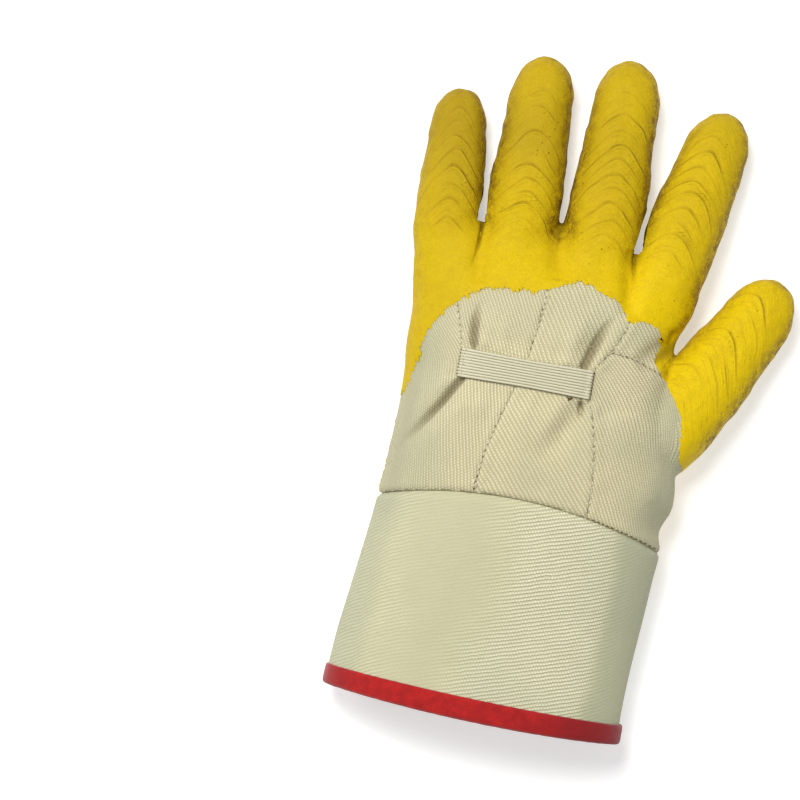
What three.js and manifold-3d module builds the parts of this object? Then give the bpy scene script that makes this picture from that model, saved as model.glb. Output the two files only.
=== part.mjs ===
// A latex coated work glove for the left hand, lying palm down with its fingers towards +Y. The yellow coat
// is one skin over the fingers, the thumb and the palm. It leaves the back of the hand bare canvas, sewn from
// four panels that a short elastic gathers, and it laps over the seam of a stiff flared cuff, whose rim is
// bound with red tape. Millimetres, +Z up. The origin is under the middle of the glove, on what it lies on.
import * as THREE from "three";
import { mergeVertices } from "three/addons/utils/BufferGeometryUtils.js";
import Module from "manifold-3d";

const wasm = await Module();
wasm.setup();

// Driving dimensions
const PALM_LENGTH = 121; // wrist seam, at its sides, to the gaps between the fingers
const PALM_WIDTH = 118;
const PALM_HEIGHT = 45;
const COAT_WALL = 2.2; // latex with the canvas that it soaks into
const CANVAS_WALL = 1.2;
const CANVAS_DROP = 0.5; // how far the bare canvas lies below the face of the latex
const CUFF_LENGTH = 80; // wrist seam to rim, at the sides
const CUFF_WIDTH = 123;
const CUFF_HEIGHT = 42;
const CUFF_WALL = 1.4;
const CUFF_TUCK = 7; // seam allowance that the cuff turns up inside the hand
const LAP_LENGTH = 16; // latex that runs over the seam on the palm side of the cuff
const LAP_WALL = 1;
const TAPE_WIDTH = 6.6;
const TAPE_WALL = 1;
const ELASTIC_LENGTH = 56;
const ELASTIC_WIDTH = 11.6;
const ELASTIC_THICKNESS = 1.7;
const ELASTIC_CORDS = 10;
const CLEARANCE = 0.3;
const BACK_SEAM_BOW = 9; // how much further up the hand the wrist seam runs at its middle than at its sides
const PALM_SEAM_BOW = 5;
const RIM_BOW = 4.5; // how much further the rim runs out at its middle than at its sides
const SIDE_LINE = 15; // height of the line along the sides where latex gives way to canvas

const ROUNDNESS = 2.35; // exponent of the sections, 2 being an ellipse
const WIDEST_AT = 0.42; // share of its height at which a section is widest
const SAG = 0.055; // share of its height that a section would sink into the ground if it weren't flattened

const PALM_SIDES = 44;
const CANVAS_SIDES = 2 * PALM_SIDES;
const DIGIT_SIDES = 16;

// Sections of the hand from the wrist seam to the finger gaps: how far it reaches on the little finger's side
// and on the thumb's, as shares of half the palm's width, and its height as a share of the palm's
const PALM_SECTIONS = [
  { along: 0.0, little: 1.005, thumb: 1.027, height: 0.95 },
  { along: 0.15, little: 0.993, thumb: 1.042, height: 0.99 },
  { along: 0.26, little: 0.986, thumb: 1.015, height: 1.0 },
  { along: 0.4, little: 0.99, thumb: 0.94, height: 1.0 },
  { along: 0.56, little: 1.02, thumb: 0.85, height: 0.96 },
  { along: 0.69, little: 1.05, thumb: 0.82, height: 0.89 },
  { along: 0.81, little: 1.09, thumb: 0.9, height: 0.8 },
  { along: 0.91, little: 1.11, thumb: 0.92, height: 0.67 },
  { along: 0.97, little: 1.07, thumb: 0.88, height: 0.52 },
  { along: 1.0, little: 0.98, thumb: 0.8, height: 0.36 },
];

// Sections of the cuff from the wrist seam to the rim, in the same way, as shares of its own sizes
const CUFF_SECTIONS = [
  { along: 0.0, little: 0.95, thumb: 0.975, height: 1.0 },
  { along: 0.28, little: 0.976, thumb: 0.955, height: 0.99 },
  { along: 0.5, little: 1.0, thumb: 0.937, height: 0.97 },
  { along: 0.74, little: 1.026, thumb: 0.93, height: 0.98 },
  { along: 1.0, little: 1.035, thumb: 0.94, height: 1.0 },
];

// Each digit's root, as shares of half the palm's width and of its length, the way that it points, in degrees
// from +Y towards the thumb, how far it turns on its way to the tip, and its size, from the little finger to
// the thumb
const DIGITS = [
  { across: -0.86, along: 0.81, lean: -4, turn: -2, length: 71, width: 28, height: 25 },
  { across: -0.405, along: 0.81, lean: -1, turn: -2.5, length: 92.5, width: 31.5, height: 27 },
  { across: 0.16, along: 0.81, lean: -0.5, turn: -3, length: 97.5, width: 32, height: 28 },
  { across: 0.62, along: 0.8, lean: 9, turn: 2, length: 85.5, width: 32.5, height: 27 },
  { across: 0.745, along: 0.28, lean: 32, turn: -17, length: 93.5, width: 36, height: 30 },
];

// How a digit's width and height change from its root to its tip, as shares of its own
const DIGIT_SECTIONS = [
  { along: 0.0, width: 0.8, height: 0.95 },
  { along: 0.2, width: 0.98, height: 1.12 },
  { along: 0.4, width: 1.0, height: 1.07 },
  { along: 0.6, width: 0.98, height: 1.0 },
  { along: 0.8, width: 0.91, height: 0.93 },
  { along: 1.0, width: 0.85, height: 0.86 },
];
const TIP_REACH = 0.62; // length of a digit's rounded end, as a share of its width
const TIP_ANGLES = [0, 28, 53, 76]; // where the rounded end has its rings, in degrees
const SHAFT_STEPS = 4; // rings along a digit before its rounded end

// Edge of the latex on the back of the hand, from the little finger's side to the thumb's, in the same shares
const COAT_EDGE = [
  { across: -1.3, along: 0.3 },
  { across: -0.985, along: 0.35 },
  { across: -0.94, along: 0.41 },
  { across: -0.92, along: 0.49 },
  { across: -0.873, along: 0.587 },
  { across: -0.763, along: 0.682 },
  { across: -0.61, along: 0.74 },
  { across: -0.475, along: 0.76 },
  { across: -0.305, along: 0.769 },
  { across: -0.136, along: 0.789 },
  { across: 0.085, along: 0.843 },
  { across: 0.203, along: 0.822 },
  { across: 0.339, along: 0.81 },
  { across: 0.407, along: 0.773 },
  { across: 0.466, along: 0.736 },
  { across: 0.525, along: 0.756 },
  { across: 0.61, along: 0.75 },
  { across: 0.695, along: 0.727 },
  { across: 0.729, along: 0.678 },
  { across: 0.7, along: 0.636 },
  { across: 0.78, along: 0.583 },
  { across: 0.864, along: 0.533 },
  { across: 0.932, along: 0.471 },
  { across: 0.985, along: 0.4 },
  { across: 1.03, along: 0.3 },
  { across: 1.3, along: 0.22 },
];

// Seams between the canvas panels, in the same shares, each running past the canvas at its ends
const MIDDLE_SEAM = [
  { across: -0.35, along: -0.2 },
  { across: -0.35, along: 0.08 },
  { across: -0.33, along: 0.21 },
  { across: -0.28, along: 0.33 },
  { across: -0.17, along: 0.56 },
  { across: -0.145, along: 0.69 },
  { across: -0.12, along: 1.0 },
];
const THUMB_SEAM = [
  { across: 0.45, along: -0.2 },
  { across: 0.45, along: 0.14 },
  { across: 0.42, along: 0.26 },
  { across: 0.36, along: 0.38 },
  { across: 0.297, along: 0.46 },
  { across: 0.3, along: 0.555 },
  { across: 0.39, along: 0.625 },
  { across: 0.47, along: 0.725 },
  { across: 0.53, along: 1.0 },
];
const INDEX_SEAM = [
  { across: 0.2, along: 0.63 },
  { across: 0.39, along: 0.625 },
  { across: 0.54, along: 0.62 },
  { across: 0.77, along: 0.586 },
  { across: 1.3, along: 0.45 },
];

// Folds of the canvas round the elastic: their ends in the same shares, their half width and their height in
// shares of the palm's height, a height below 0 being a crease
const FOLDS = [
  { across: -0.63, along: 0.42, toAcross: -0.95, toAlong: 0.13, half: 0.1, height: -0.055 },
  { across: -0.45, along: 0.42, toAcross: -0.62, toAlong: 0.13, half: 0.15, height: 0.035 },
  { across: 0.27, along: 0.43, toAcross: 0.1, toAlong: 0.2, half: 0.12, height: -0.035 },
  { across: 0.5, along: 0.43, toAcross: 0.6, toAlong: 0.16, half: 0.2, height: 0.03 },
  { across: -0.1, along: 0.41, toAcross: -0.2, toAlong: 0.14, half: 0.17, height: 0.03 },
  { across: 0.22, along: 0.575, toAcross: 0.36, toAlong: 0.78, half: 0.09, height: -0.05 },
  { across: 0.05, along: 0.58, toAcross: 0.12, toAlong: 0.77, half: 0.16, height: 0.035 },
  { across: -0.58, along: 0.56, toAcross: -0.54, toAlong: 0.71, half: 0.09, height: -0.045 },
  { across: -0.36, along: 0.575, toAcross: -0.34, toAlong: 0.73, half: 0.16, height: 0.035 },
];
const ELASTIC_AT = { across: -0.167, along: 0.495, lean: 1.8 }; // its middle, and its lean in degrees
const CORD_RELIEF = 0.3; // share of the elastic's thickness that its cords stand proud

const PALM_HALF = PALM_WIDTH / 2;
const CUFF_HALF = CUFF_WIDTH / 2;
const CANVAS_RINGS = 10;
const CANVAS_REACH = 0.88; // share of the palm's length that the canvas's own rings cover
const INNER_START = -0.2; // share of the palm's length at which the hollow's cutter starts
const TUCK_BLEND = 0.12; // share of the cuff's length over which it comes out of the hand
const FOLD_FADE = 0.2; // share of the elastic's width, from its edge, where folds start
const CORD_SHOULDER = 0.25; // share of a cord's pitch that each of its slopes takes
const ELASTIC_STEPS = 8;
const PAST = 3; // how far a cutter runs past what it cuts
const FAR = 1.5; // a cutter's far side, in shares of the palm

// The rows of a table as a smooth function of how far along one is
function smooth(rows) {
  const columns = Object.keys(rows[0]).filter((key) => key !== "along");
  const places = rows.map((row) => row.along);
  const values = rows.flatMap((row) => columns.map((key) => row[key]));
  const curve = new THREE.CubicInterpolant(places, values, columns.length);
  return (along) => {
    const found = curve.evaluate(along);
    return Object.fromEntries(columns.map((key, i) => [key, found[i]]));
  };
}
const palmSection = smooth(PALM_SECTIONS);
const cuffSection = smooth(CUFF_SECTIONS);
const digitSection = smooth(DIGIT_SECTIONS);

// A superellipse's cosine or sine
function softened(value) {
  return Math.sign(value) * Math.abs(value) ** (2 / ROUNDNESS);
}

// A section across the glove: its reach to the little finger's side and to the thumb's, the level at which it
// is widest, how far it rises and drops from there, and the floor that flattens its underside
function section(little, thumb, height, floor = 0) {
  const level = height * WIDEST_AT;
  return { little, thumb, level, rise: height - level, drop: level + SAG * height, floor };
}

// The same section inside itself by a gap
function inset(shape, gap) {
  const { little, thumb, level, rise, drop, floor } = shape;
  const sides = { little: little - gap, thumb: thumb - gap };
  return { ...sides, level, rise: rise - gap, drop: drop - gap, floor: floor + gap };
}

function mix(first, second, share) {
  const keys = Object.keys(first);
  return Object.fromEntries(keys.map((key) => [key, THREE.MathUtils.lerp(first[key], second[key], share)]));
}

// A point on a section that is grown by an offset and then shrunk towards its level line
function pointOf(shape, angle, offset, shrink = 1) {
  const across = softened(Math.cos(angle));
  const up = softened(Math.sin(angle));
  const half = ((shape.little + shape.thumb) / 2 + offset) * shrink;
  const reach = ((up > 0 ? shape.rise : shape.drop) + offset) * shrink;
  const x = (shape.thumb - shape.little) / 2 + half * across;
  return { x, z: Math.max(shape.level + reach * up, shape.floor - offset) };
}

// A ring of points, made by a function of the angle, that runs anticlockwise as seen from +Y
function ring(sides, pointAt) {
  return Array.from({ length: sides }, (_, i) => pointAt((-2 * Math.PI * i) / sides));
}

// The closed solid through rings that run anticlockwise as seen from the end they run to
function loft(rings) {
  const sides = rings[0].length;
  const points = rings.flat();
  const faces = [];
  for (let i = 0; i + 1 < rings.length; i++) {
    for (let j = 0; j < sides; j++) {
      const a = i * sides + j;
      const b = i * sides + ((j + 1) % sides);
      faces.push(a, b, b + sides, a, b + sides, a + sides);
    }
  }
  for (const last of [false, true]) {
    const first = last ? (rings.length - 1) * sides : 0;
    const hub = new THREE.Vector3();
    for (let j = 0; j < sides; j++) {
      hub.addScaledVector(points[first + j], 1 / sides);
      const pair = [first + j, first + ((j + 1) % sides)];
      faces.push(rings.length * sides + Number(last), ...(last ? pair : pair.reverse()));
    }
    points.push(hub);
  }
  const geometry = new THREE.BufferGeometry().setFromPoints(points);
  geometry.setIndex(faces);
  return solid(geometry);
}

function solid(geometry) {
  const bare = new THREE.BufferGeometry();
  bare.setAttribute("position", geometry.getAttribute("position"));
  bare.setIndex(geometry.index);
  const merged = mergeVertices(bare);
  const vertProperties = merged.getAttribute("position").array;
  const triVerts = new Uint32Array(merged.index.array);
  return new wasm.Manifold(new wasm.Mesh({ numProp: 3, vertProperties, triVerts }));
}

// How far up the hand the wrist seam bows, at a share of the way across
function seamBow(share, up) {
  return (up > 0 ? BACK_SEAM_BOW : PALM_SEAM_BOW) * (1 - share ** 2);
}

// A table's row, in shares of the palm, as a place in millimetres
function place(across, along) {
  return new THREE.Vector2(across * PALM_HALF, along * PALM_LENGTH);
}

// How far the folds lift the canvas at a place. They die out under the elastic
function foldLift(x, y) {
  const offElastic = Math.abs(y - ELASTIC_AT.along * PALM_LENGTH) - ELASTIC_WIDTH / 2;
  const free = THREE.MathUtils.smoothstep(offElastic, FOLD_FADE * ELASTIC_WIDTH, ELASTIC_WIDTH);
  let lift = 0;
  for (const fold of FOLDS) {
    const from = place(fold.across, fold.along);
    const run = place(fold.toAcross, fold.toAlong).sub(from);
    const here = new THREE.Vector2(x, y).sub(from);
    const share = here.dot(run) / run.lengthSq();
    if (share > 0 && share < 1) {
      const aside = here.cross(run) / run.length() / (fold.half * PALM_HEIGHT);
      lift += fold.height * PALM_HEIGHT * Math.exp(-(aside ** 2)) * Math.sin(Math.PI * Math.sqrt(share));
    }
  }
  return lift * free;
}

function palmShape(along) {
  const { little, thumb, height } = palmSection(along);
  return section(little * PALM_HALF, thumb * PALM_HALF, height * PALM_HEIGHT);
}

// The hand without its digits, grown by an offset, from the given place along it
function palm(alongs, sides, offset, lift) {
  const bowEnds = 0.35; // share of the palm's length over which its sections straighten out
  const rings = alongs.map((along) => {
    const shape = palmShape(along);
    const bent = THREE.MathUtils.clamp(1 - along / bowEnds, 0, 1);
    return ring(sides, (angle) => {
      const { x, z } = pointOf(shape, angle, offset);
      const y = along * (PALM_LENGTH + offset) + bent * seamBow(softened(Math.cos(angle)), Math.sin(angle));
      const raised = Math.sin(angle) > 0 ? z + lift(x, y) * Math.sqrt(Math.sin(angle)) : z;
      return new THREE.Vector3(x, y, raised);
    });
  });
  return loft(rings);
}

// A digit, grown by an offset
function digit(row, offset) {
  const start = place(row.across, row.along);
  const tip = TIP_REACH * row.width;
  const shaft = row.length - tip;
  const stops = Array.from({ length: SHAFT_STEPS }, (_, i) => ({ at: (shaft * i) / SHAFT_STEPS, shrink: 1 }));
  for (const angle of TIP_ANGLES.map(THREE.MathUtils.degToRad)) {
    stops.push({ at: shaft + (tip + offset) * Math.sin(angle), shrink: Math.cos(angle) });
  }
  const rings = stops.map(({ at, shrink }) => {
    const { width, height } = digitSection(Math.min(1, at / shaft));
    const shape = section((width * row.width) / 2, (width * row.width) / 2, height * row.height);
    const chord = THREE.MathUtils.degToRad(row.lean + (row.turn * at) / row.length / 2);
    const heading = THREE.MathUtils.degToRad(row.lean + (row.turn * at) / row.length);
    return ring(DIGIT_SIDES, (angle) => {
      const { x, z } = pointOf(shape, angle, offset, shrink);
      const side = new THREE.Vector2(Math.cos(heading), -Math.sin(heading)).multiplyScalar(x);
      const middle = new THREE.Vector2(Math.sin(chord), Math.cos(chord)).multiplyScalar(at);
      const { x: across, y: along } = start.clone().add(middle).add(side);
      return new THREE.Vector3(across, along, z);
    });
  });
  return loft(rings);
}

// The whole hand, grown by an offset. An inner one runs past the wrist, which opens the hollow there
const PALM_STOPS = PALM_SECTIONS.map((row) => row.along);
function hand(offset, { inner = false, sides = PALM_SIDES, alongs = PALM_STOPS } = {}) {
  const lift = sides === CANVAS_SIDES ? foldLift : () => 0;
  const reaches = inner ? [INNER_START, ...alongs] : alongs;
  return DIGITS.reduce((whole, row) => whole.add(digit(row, offset)), palm(reaches, sides, offset, lift));
}

// The solid over an outline on the ground, between two heights
function prism(outline, bottom, top) {
  const depth = top - bottom;
  const geometry = new THREE.ExtrudeGeometry(new THREE.Shape(outline), { depth, bevelEnabled: false });
  return solid(geometry.translate(0, 0, bottom));
}

// A line of places moved sideways, to its left as one goes along it
function aside(line, gap) {
  return line.map((here, i) => {
    const way = line[Math.min(i + 1, line.length - 1)].clone().sub(line[Math.max(i - 1, 0)]).normalize();
    return new THREE.Vector2(here.x - way.y * gap, here.y + way.x * gap);
  });
}

const places = (rows) => rows.map((row) => place(row.across, row.along));
const ABOVE = PALM_HEIGHT * 2;

// Where the back of the hand is bare, less a gap
function bareBack(gap) {
  const edge = aside(places(COAT_EDGE), -gap);
  const wrist = [place(FAR, -FAR), place(-FAR, -FAR)];
  return prism([...edge, ...wrist].reverse(), SIDE_LINE + gap, ABOVE);
}

// What lies on the thumb's side of a seam, less half the gap that the seam leaves
function thumbSide(seam) {
  const line = aside(places(seam), -CLEARANCE / 2);
  return prism([...line, place(FAR, FAR), place(FAR, -FAR)].reverse(), 0, ABOVE);
}
function littleSide(seam) {
  const line = aside(places(seam), CLEARANCE / 2);
  return prism([...line, place(-FAR, FAR), place(-FAR, -FAR)], 0, ABOVE);
}
function above(seam) {
  const line = aside(places(seam), CLEARANCE / 2);
  return prism([...line, place(FAR, FAR), place(0, FAR)], 0, ABOVE);
}
function below(seam) {
  const line = aside(places(seam), -CLEARANCE / 2);
  return prism([...line, place(FAR, -FAR), place(0, -FAR)].reverse(), 0, ABOVE);
}

// The outside of the cuff at a share of its length: tucked inside the hand at the wrist seam, then its own
const CUFF_FLOOR = CLEARANCE + Math.max(LAP_WALL, TAPE_WALL);
const TAPE_TOP = CUFF_LENGTH - TAPE_WIDTH;
const CUFF_STOPS = [0, 0.25 * LAP_LENGTH, 0.6 * LAP_LENGTH, CUFF_LENGTH / 2, TAPE_TOP - PAST];
function cuffShape(along) {
  const { little, thumb, height } = cuffSection(Math.max(along, 0));
  const own = section(little * CUFF_HALF, thumb * CUFF_HALF, height * CUFF_HEIGHT, CUFF_FLOOR);
  const hidden = inset(palmShape(Math.max(0, (-along * CUFF_LENGTH) / PALM_LENGTH)), COAT_WALL + 2 * CLEARANCE);
  return mix(hidden, own, THREE.MathUtils.smoothstep(along, 0, TUCK_BLEND));
}

// The cuff as one solid, grown by an offset, between two distances from the wrist seam
function cuffBlock(offset, from, to) {
  const stops = [from, ...CUFF_STOPS.filter((stop) => stop > from && stop < to), to];
  const rings = stops.reverse().map((distance) => {
    const along = distance / CUFF_LENGTH;
    const shape = cuffShape(along);
    return ring(PALM_SIDES, (angle) => {
      const { x, z } = pointOf(shape, angle, offset);
      const share = softened(Math.cos(angle));
      const bow = THREE.MathUtils.lerp(seamBow(share, Math.sin(angle)), -RIM_BOW * (1 - share ** 2), along);
      return new THREE.Vector3(x, bow - distance, z);
    });
  });
  return loft(rings);
}

function latexCoat() {
  const shell = hand(0).subtract(hand(-COAT_WALL, { inner: true })).subtract(bareBack(0));
  const grip = Math.min(LAP_LENGTH, CUFF_TUCK) / 2; // how far the lap reaches into the wall of the hand
  const outer = cuffBlock(CLEARANCE + LAP_WALL, -grip, LAP_LENGTH);
  const sleeve = outer.subtract(cuffBlock(CLEARANCE, -grip - PAST, LAP_LENGTH + PAST));
  const palmSide = [place(-FAR, -FAR), place(FAR, -FAR), place(FAR, FAR), place(-FAR, FAR)];
  return shell.add(sleeve.intersect(prism(palmSide, -PAST, SIDE_LINE)));
}

function canvasBack() {
  const alongs = Array.from({ length: CANVAS_RINGS }, (_, i) => (CANVAS_REACH * i) / (CANVAS_RINGS - 1));
  const detail = { sides: CANVAS_SIDES, alongs };
  const outer = hand(-CANVAS_DROP, detail);
  const inner = hand(-CANVAS_DROP - CANVAS_WALL, { ...detail, inner: true });
  return outer.subtract(inner).intersect(bareBack(CLEARANCE));
}

function safetyCuff() {
  const inner = cuffBlock(-CUFF_WALL, -CUFF_TUCK - PAST, CUFF_LENGTH + PAST);
  return cuffBlock(0, -CUFF_TUCK, CUFF_LENGTH).subtract(inner);
}

// The tape is folded over the rim
function cuffBinding() {
  const rim = CUFF_LENGTH + CLEARANCE;
  const outside = cuffBlock(CLEARANCE + TAPE_WALL, TAPE_TOP, rim + TAPE_WALL);
  const hollow = cuffBlock(-CUFF_WALL - CLEARANCE - TAPE_WALL, TAPE_TOP - PAST, rim + TAPE_WALL + PAST);
  const slotOuter = cuffBlock(CLEARANCE, TAPE_TOP - PAST, rim);
  const slotInner = cuffBlock(-CUFF_WALL - CLEARANCE, TAPE_TOP - 2 * PAST, rim + PAST);
  return outside.subtract(hollow).subtract(slotOuter.subtract(slotInner));
}

// Height of the canvas over a place on the ground, clear of the folds
function backHeight(x, y) {
  const { little, thumb, level, rise } = palmShape(y / PALM_LENGTH);
  const share = (x - (thumb - little) / 2) / ((little + thumb) / 2 - CANVAS_DROP);
  return level + (rise - CANVAS_DROP) * (1 - Math.abs(share) ** ROUNDNESS) ** (1 / ROUNDNESS);
}

// A ribbed band, bent over the back of the hand
function elasticBand() {
  const outline = [new THREE.Vector2(-ELASTIC_WIDTH / 2, 0), new THREE.Vector2(ELASTIC_WIDTH / 2, 0)];
  const pitch = ELASTIC_WIDTH / ELASTIC_CORDS;
  const groove = ELASTIC_THICKNESS * (1 - CORD_RELIEF);
  for (let i = 0; i < ELASTIC_CORDS; i++) {
    const edge = ELASTIC_WIDTH / 2 - i * pitch;
    outline.push(new THREE.Vector2(edge, groove));
    outline.push(new THREE.Vector2(edge - CORD_SHOULDER * pitch, ELASTIC_THICKNESS));
    outline.push(new THREE.Vector2(edge - (1 - CORD_SHOULDER) * pitch, ELASTIC_THICKNESS));
  }
  outline.push(new THREE.Vector2(-ELASTIC_WIDTH / 2, groove));
  const settings = { depth: ELASTIC_LENGTH, steps: ELASTIC_STEPS, bevelEnabled: false };
  const geometry = new THREE.ExtrudeGeometry(new THREE.Shape(outline), settings);
  const middle = place(ELASTIC_AT.across, ELASTIC_AT.along);
  const lean = THREE.MathUtils.degToRad(ELASTIC_AT.lean);
  const points = geometry.getAttribute("position");
  for (let i = 0; i < points.count; i++) {
    const spot = new THREE.Vector2(points.getZ(i) - ELASTIC_LENGTH / 2, points.getX(i));
    spot.rotateAround(new THREE.Vector2(), lean).add(middle);
    points.setXYZ(i, spot.x, spot.y, backHeight(spot.x, spot.y) + CLEARANCE + points.getY(i));
  }
  return solid(geometry);
}

const glove = new THREE.Group();
function addPiece(name, body, color, roughness) {
  const { vertProperties, triVerts } = body.getMesh();
  const geometry = new THREE.BufferGeometry();
  geometry.setAttribute("position", new THREE.BufferAttribute(vertProperties, 3));
  geometry.setIndex(new THREE.BufferAttribute(triVerts, 1));
  geometry.computeVertexNormals();
  const mesh = new THREE.Mesh(geometry, new THREE.MeshStandardMaterial({ color, roughness, metalness: 0 }));
  mesh.name = name;
  glove.add(mesh);
}

const CANVAS_COLOR = 0xd2cdaa;
addPiece("latex_coat", latexCoat(), 0xe6c819, 0.5);
const canvas = canvasBack();
const thumbHalf = canvas.intersect(thumbSide(THUMB_SEAM));
const middlePart = canvas.intersect(thumbSide(MIDDLE_SEAM)).intersect(littleSide(THUMB_SEAM));
addPiece("little_panel", canvas.intersect(littleSide(MIDDLE_SEAM)), CANVAS_COLOR, 0.9);
addPiece("middle_panel", middlePart, CANVAS_COLOR, 0.9);
addPiece("index_panel", thumbHalf.intersect(above(INDEX_SEAM)), CANVAS_COLOR, 0.9);
addPiece("thumb_panel", thumbHalf.intersect(below(INDEX_SEAM)), CANVAS_COLOR, 0.9);
addPiece("elastic_band", elasticBand(), 0xe4e0c4, 0.8);
addPiece("safety_cuff", safetyCuff(), 0xd4d4b2, 0.85);
addPiece("cuff_binding", cuffBinding(), 0xb91e1e, 0.8);

const box = new THREE.Box3().setFromObject(glove);
const middle = box.getCenter(new THREE.Vector3());
glove.position.set(-middle.x, -middle.y, -box.min.z);

export default glove;
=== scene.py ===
import itertools
import math
import bpy
import numpy as np
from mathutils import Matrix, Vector
from mathutils.bvhtree import BVHTree


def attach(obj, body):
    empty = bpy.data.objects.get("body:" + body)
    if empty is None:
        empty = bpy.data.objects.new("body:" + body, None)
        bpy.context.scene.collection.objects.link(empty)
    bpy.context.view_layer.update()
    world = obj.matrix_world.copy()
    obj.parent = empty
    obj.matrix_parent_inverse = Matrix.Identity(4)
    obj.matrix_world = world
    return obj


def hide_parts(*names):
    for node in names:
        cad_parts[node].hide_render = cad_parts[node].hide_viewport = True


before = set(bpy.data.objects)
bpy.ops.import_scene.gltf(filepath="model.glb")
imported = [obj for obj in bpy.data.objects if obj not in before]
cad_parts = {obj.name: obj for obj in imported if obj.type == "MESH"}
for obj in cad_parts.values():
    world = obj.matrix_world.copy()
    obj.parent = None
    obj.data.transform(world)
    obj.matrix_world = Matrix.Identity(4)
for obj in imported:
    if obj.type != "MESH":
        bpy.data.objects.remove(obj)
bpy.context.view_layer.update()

ORIGIN = np.array([11.897, 54.521, 0.0])

PALM_LENGTH = 121.0
PALM_HALF = 59.0
PALM_HEIGHT = 45.0
CUFF_LENGTH = 80.0
CUFF_HALF = 61.5
CUFF_HEIGHT = 42.0
CUFF_WALL = 1.4
CUFF_TUCK = 7.0
CUFF_FLOOR = 1.3
COAT_WALL = 2.0
CANVAS_DROP = 0.5
CANVAS_WALL = 1.1
LAP_LENGTH = 16.0
LAP_WALL = 1.0
CLEARANCE = 0.3
TAPE_WIDTH = 6.9
TAPE_WALL = 1.0
ELASTIC_LENGTH = 55.0
ELASTIC_WIDTH = 11.9
ELASTIC_THICKNESS = 1.8
ELASTIC_CORDS = 10
BACK_SEAM_BOW = 9.0
PALM_SEAM_BOW = 5.0
RIM_BOW = 2.2
SIDE_LINE = 15.0
ROUNDNESS = 2.35
WIDEST_AT = 0.42
SAG = 0.055
TIP_REACH = 0.62
SEAM_GAP = 0.05
STITCH = 2.7  # length of a stitch and the gap after it
BOW_ENDS = 0.35
VOXEL = 1.1  # size of the hand's faces before edges and creases refine them
HAND_SIDES, DIGIT_SIDES, CUFF_SIDES = 180, 72, 340
FAR_OFF = 9.0  # a distance that counts as none near

# along, reach to the little finger's side, to the thumb's, height: shares of the palm's sizes
PALM_SECTIONS = np.array([
    (-0.2, 1.005, 1.027, 0.95), (0.0, 1.005, 1.027, 0.95), (0.05, 0.997, 0.988, 0.965),
    (0.15, 0.993, 1.042, 0.99),
    (0.26, 0.986, 1.015, 1.0), (0.4, 0.99, 0.94, 1.0), (0.56, 1.02, 0.85, 0.96), (0.69, 1.05, 0.82, 0.89),
    (0.81, 1.09, 0.9, 0.8), (0.91, 1.11, 0.92, 0.67), (0.97, 1.07, 0.88, 0.52), (1.0, 0.98, 0.8, 0.36),
])
CUFF_SECTIONS = np.array([
    (0.0, 0.95, 0.975, 1.0), (0.28, 0.976, 0.963, 0.99), (0.5, 1.0, 0.95, 0.97), (0.74, 1.026, 0.943, 0.98),
    (1.0, 1.035, 0.953, 1.0),
])
# Across, along, lean, turn, length, width, height, then which way the back of the digit faces, in degrees
DIGITS = [
    (-0.892, 0.81, -4.2, -2, 72, 27.5, 25, 0), (-0.405, 0.81, -1, -2.2, 92, 31, 27, 0),
    (0.17, 0.81, -0.5, -2, 97.5, 32, 28, 4), (0.62, 0.8, 9, 2, 87, 32, 27, -10),
    (0.74, 0.277, 30, -6, 95.5, 34.5, 30, -28),
]
DIGIT_SECTIONS = np.array([
    (0, 0.8, 0.95), (0.2, 0.98, 1.12), (0.4, 1, 1.07), (0.6, 0.98, 1), (0.8, 0.91, 0.93), (1, 0.85, 0.86),
])
COAT_EDGE = [
    (-1.3, 0.3), (-0.985, 0.35), (-0.94, 0.41), (-0.92, 0.49), (-0.873, 0.587), (-0.763, 0.682),
    (-0.61, 0.74), (-0.475, 0.76), (-0.305, 0.769), (-0.136, 0.789), (0.085, 0.843), (0.203, 0.822),
    (0.339, 0.81), (0.407, 0.773), (0.466, 0.736), (0.525, 0.756), (0.61, 0.75), (0.695, 0.727),
    (0.729, 0.678), (0.7, 0.636), (0.78, 0.583), (0.864, 0.533), (0.932, 0.471), (0.985, 0.4),
    (1.03, 0.3), (1.3, 0.22),
]
MIDDLE_SEAM = [
    (-0.35, -0.2), (-0.35, 0.08), (-0.33, 0.21), (-0.28, 0.33), (-0.17, 0.56), (-0.145, 0.69), (-0.12, 1.0),
]
THUMB_SEAM = [
    (0.45, -0.2), (0.45, 0.14), (0.42, 0.26), (0.36, 0.38), (0.297, 0.46), (0.3, 0.555), (0.39, 0.625),
    (0.47, 0.725), (0.53, 1.0),
]
INDEX_SEAM = [(0.2, 0.63), (0.39, 0.625), (0.54, 0.62), (0.77, 0.586), (1.3, 0.45)]
LEFT_SEAM = [(-0.636, 0.535), (-0.66, 0.58), (-0.715, 0.66), (-0.74, 0.7)]
ELASTIC_X, ELASTIC_Y = -0.167 * PALM_HALF, 0.495 * PALM_LENGTH
ELASTIC_LEAN = math.radians(1.8)

# Broad folds of the solids: ends in shares of the palm, half width and height in shares of its height
BROAD_FOLDS = [
    (-0.63, 0.42, -0.95, 0.13, 0.1, -0.025), (-0.45, 0.42, -0.62, 0.13, 0.15, 0.035),
    (0.27, 0.43, 0.1, 0.2, 0.12, -0.02), (0.5, 0.43, 0.6, 0.16, 0.2, 0.03),
    (-0.1, 0.41, -0.2, 0.14, 0.17, 0.03), (0.22, 0.575, 0.36, 0.78, 0.09, -0.03),
    (0.05, 0.58, 0.12, 0.77, 0.16, 0.035), (-0.58, 0.56, -0.56, 0.72, 0.09, -0.03),
    (-0.36, 0.575, -0.34, 0.73, 0.16, 0.035),
]
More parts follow.
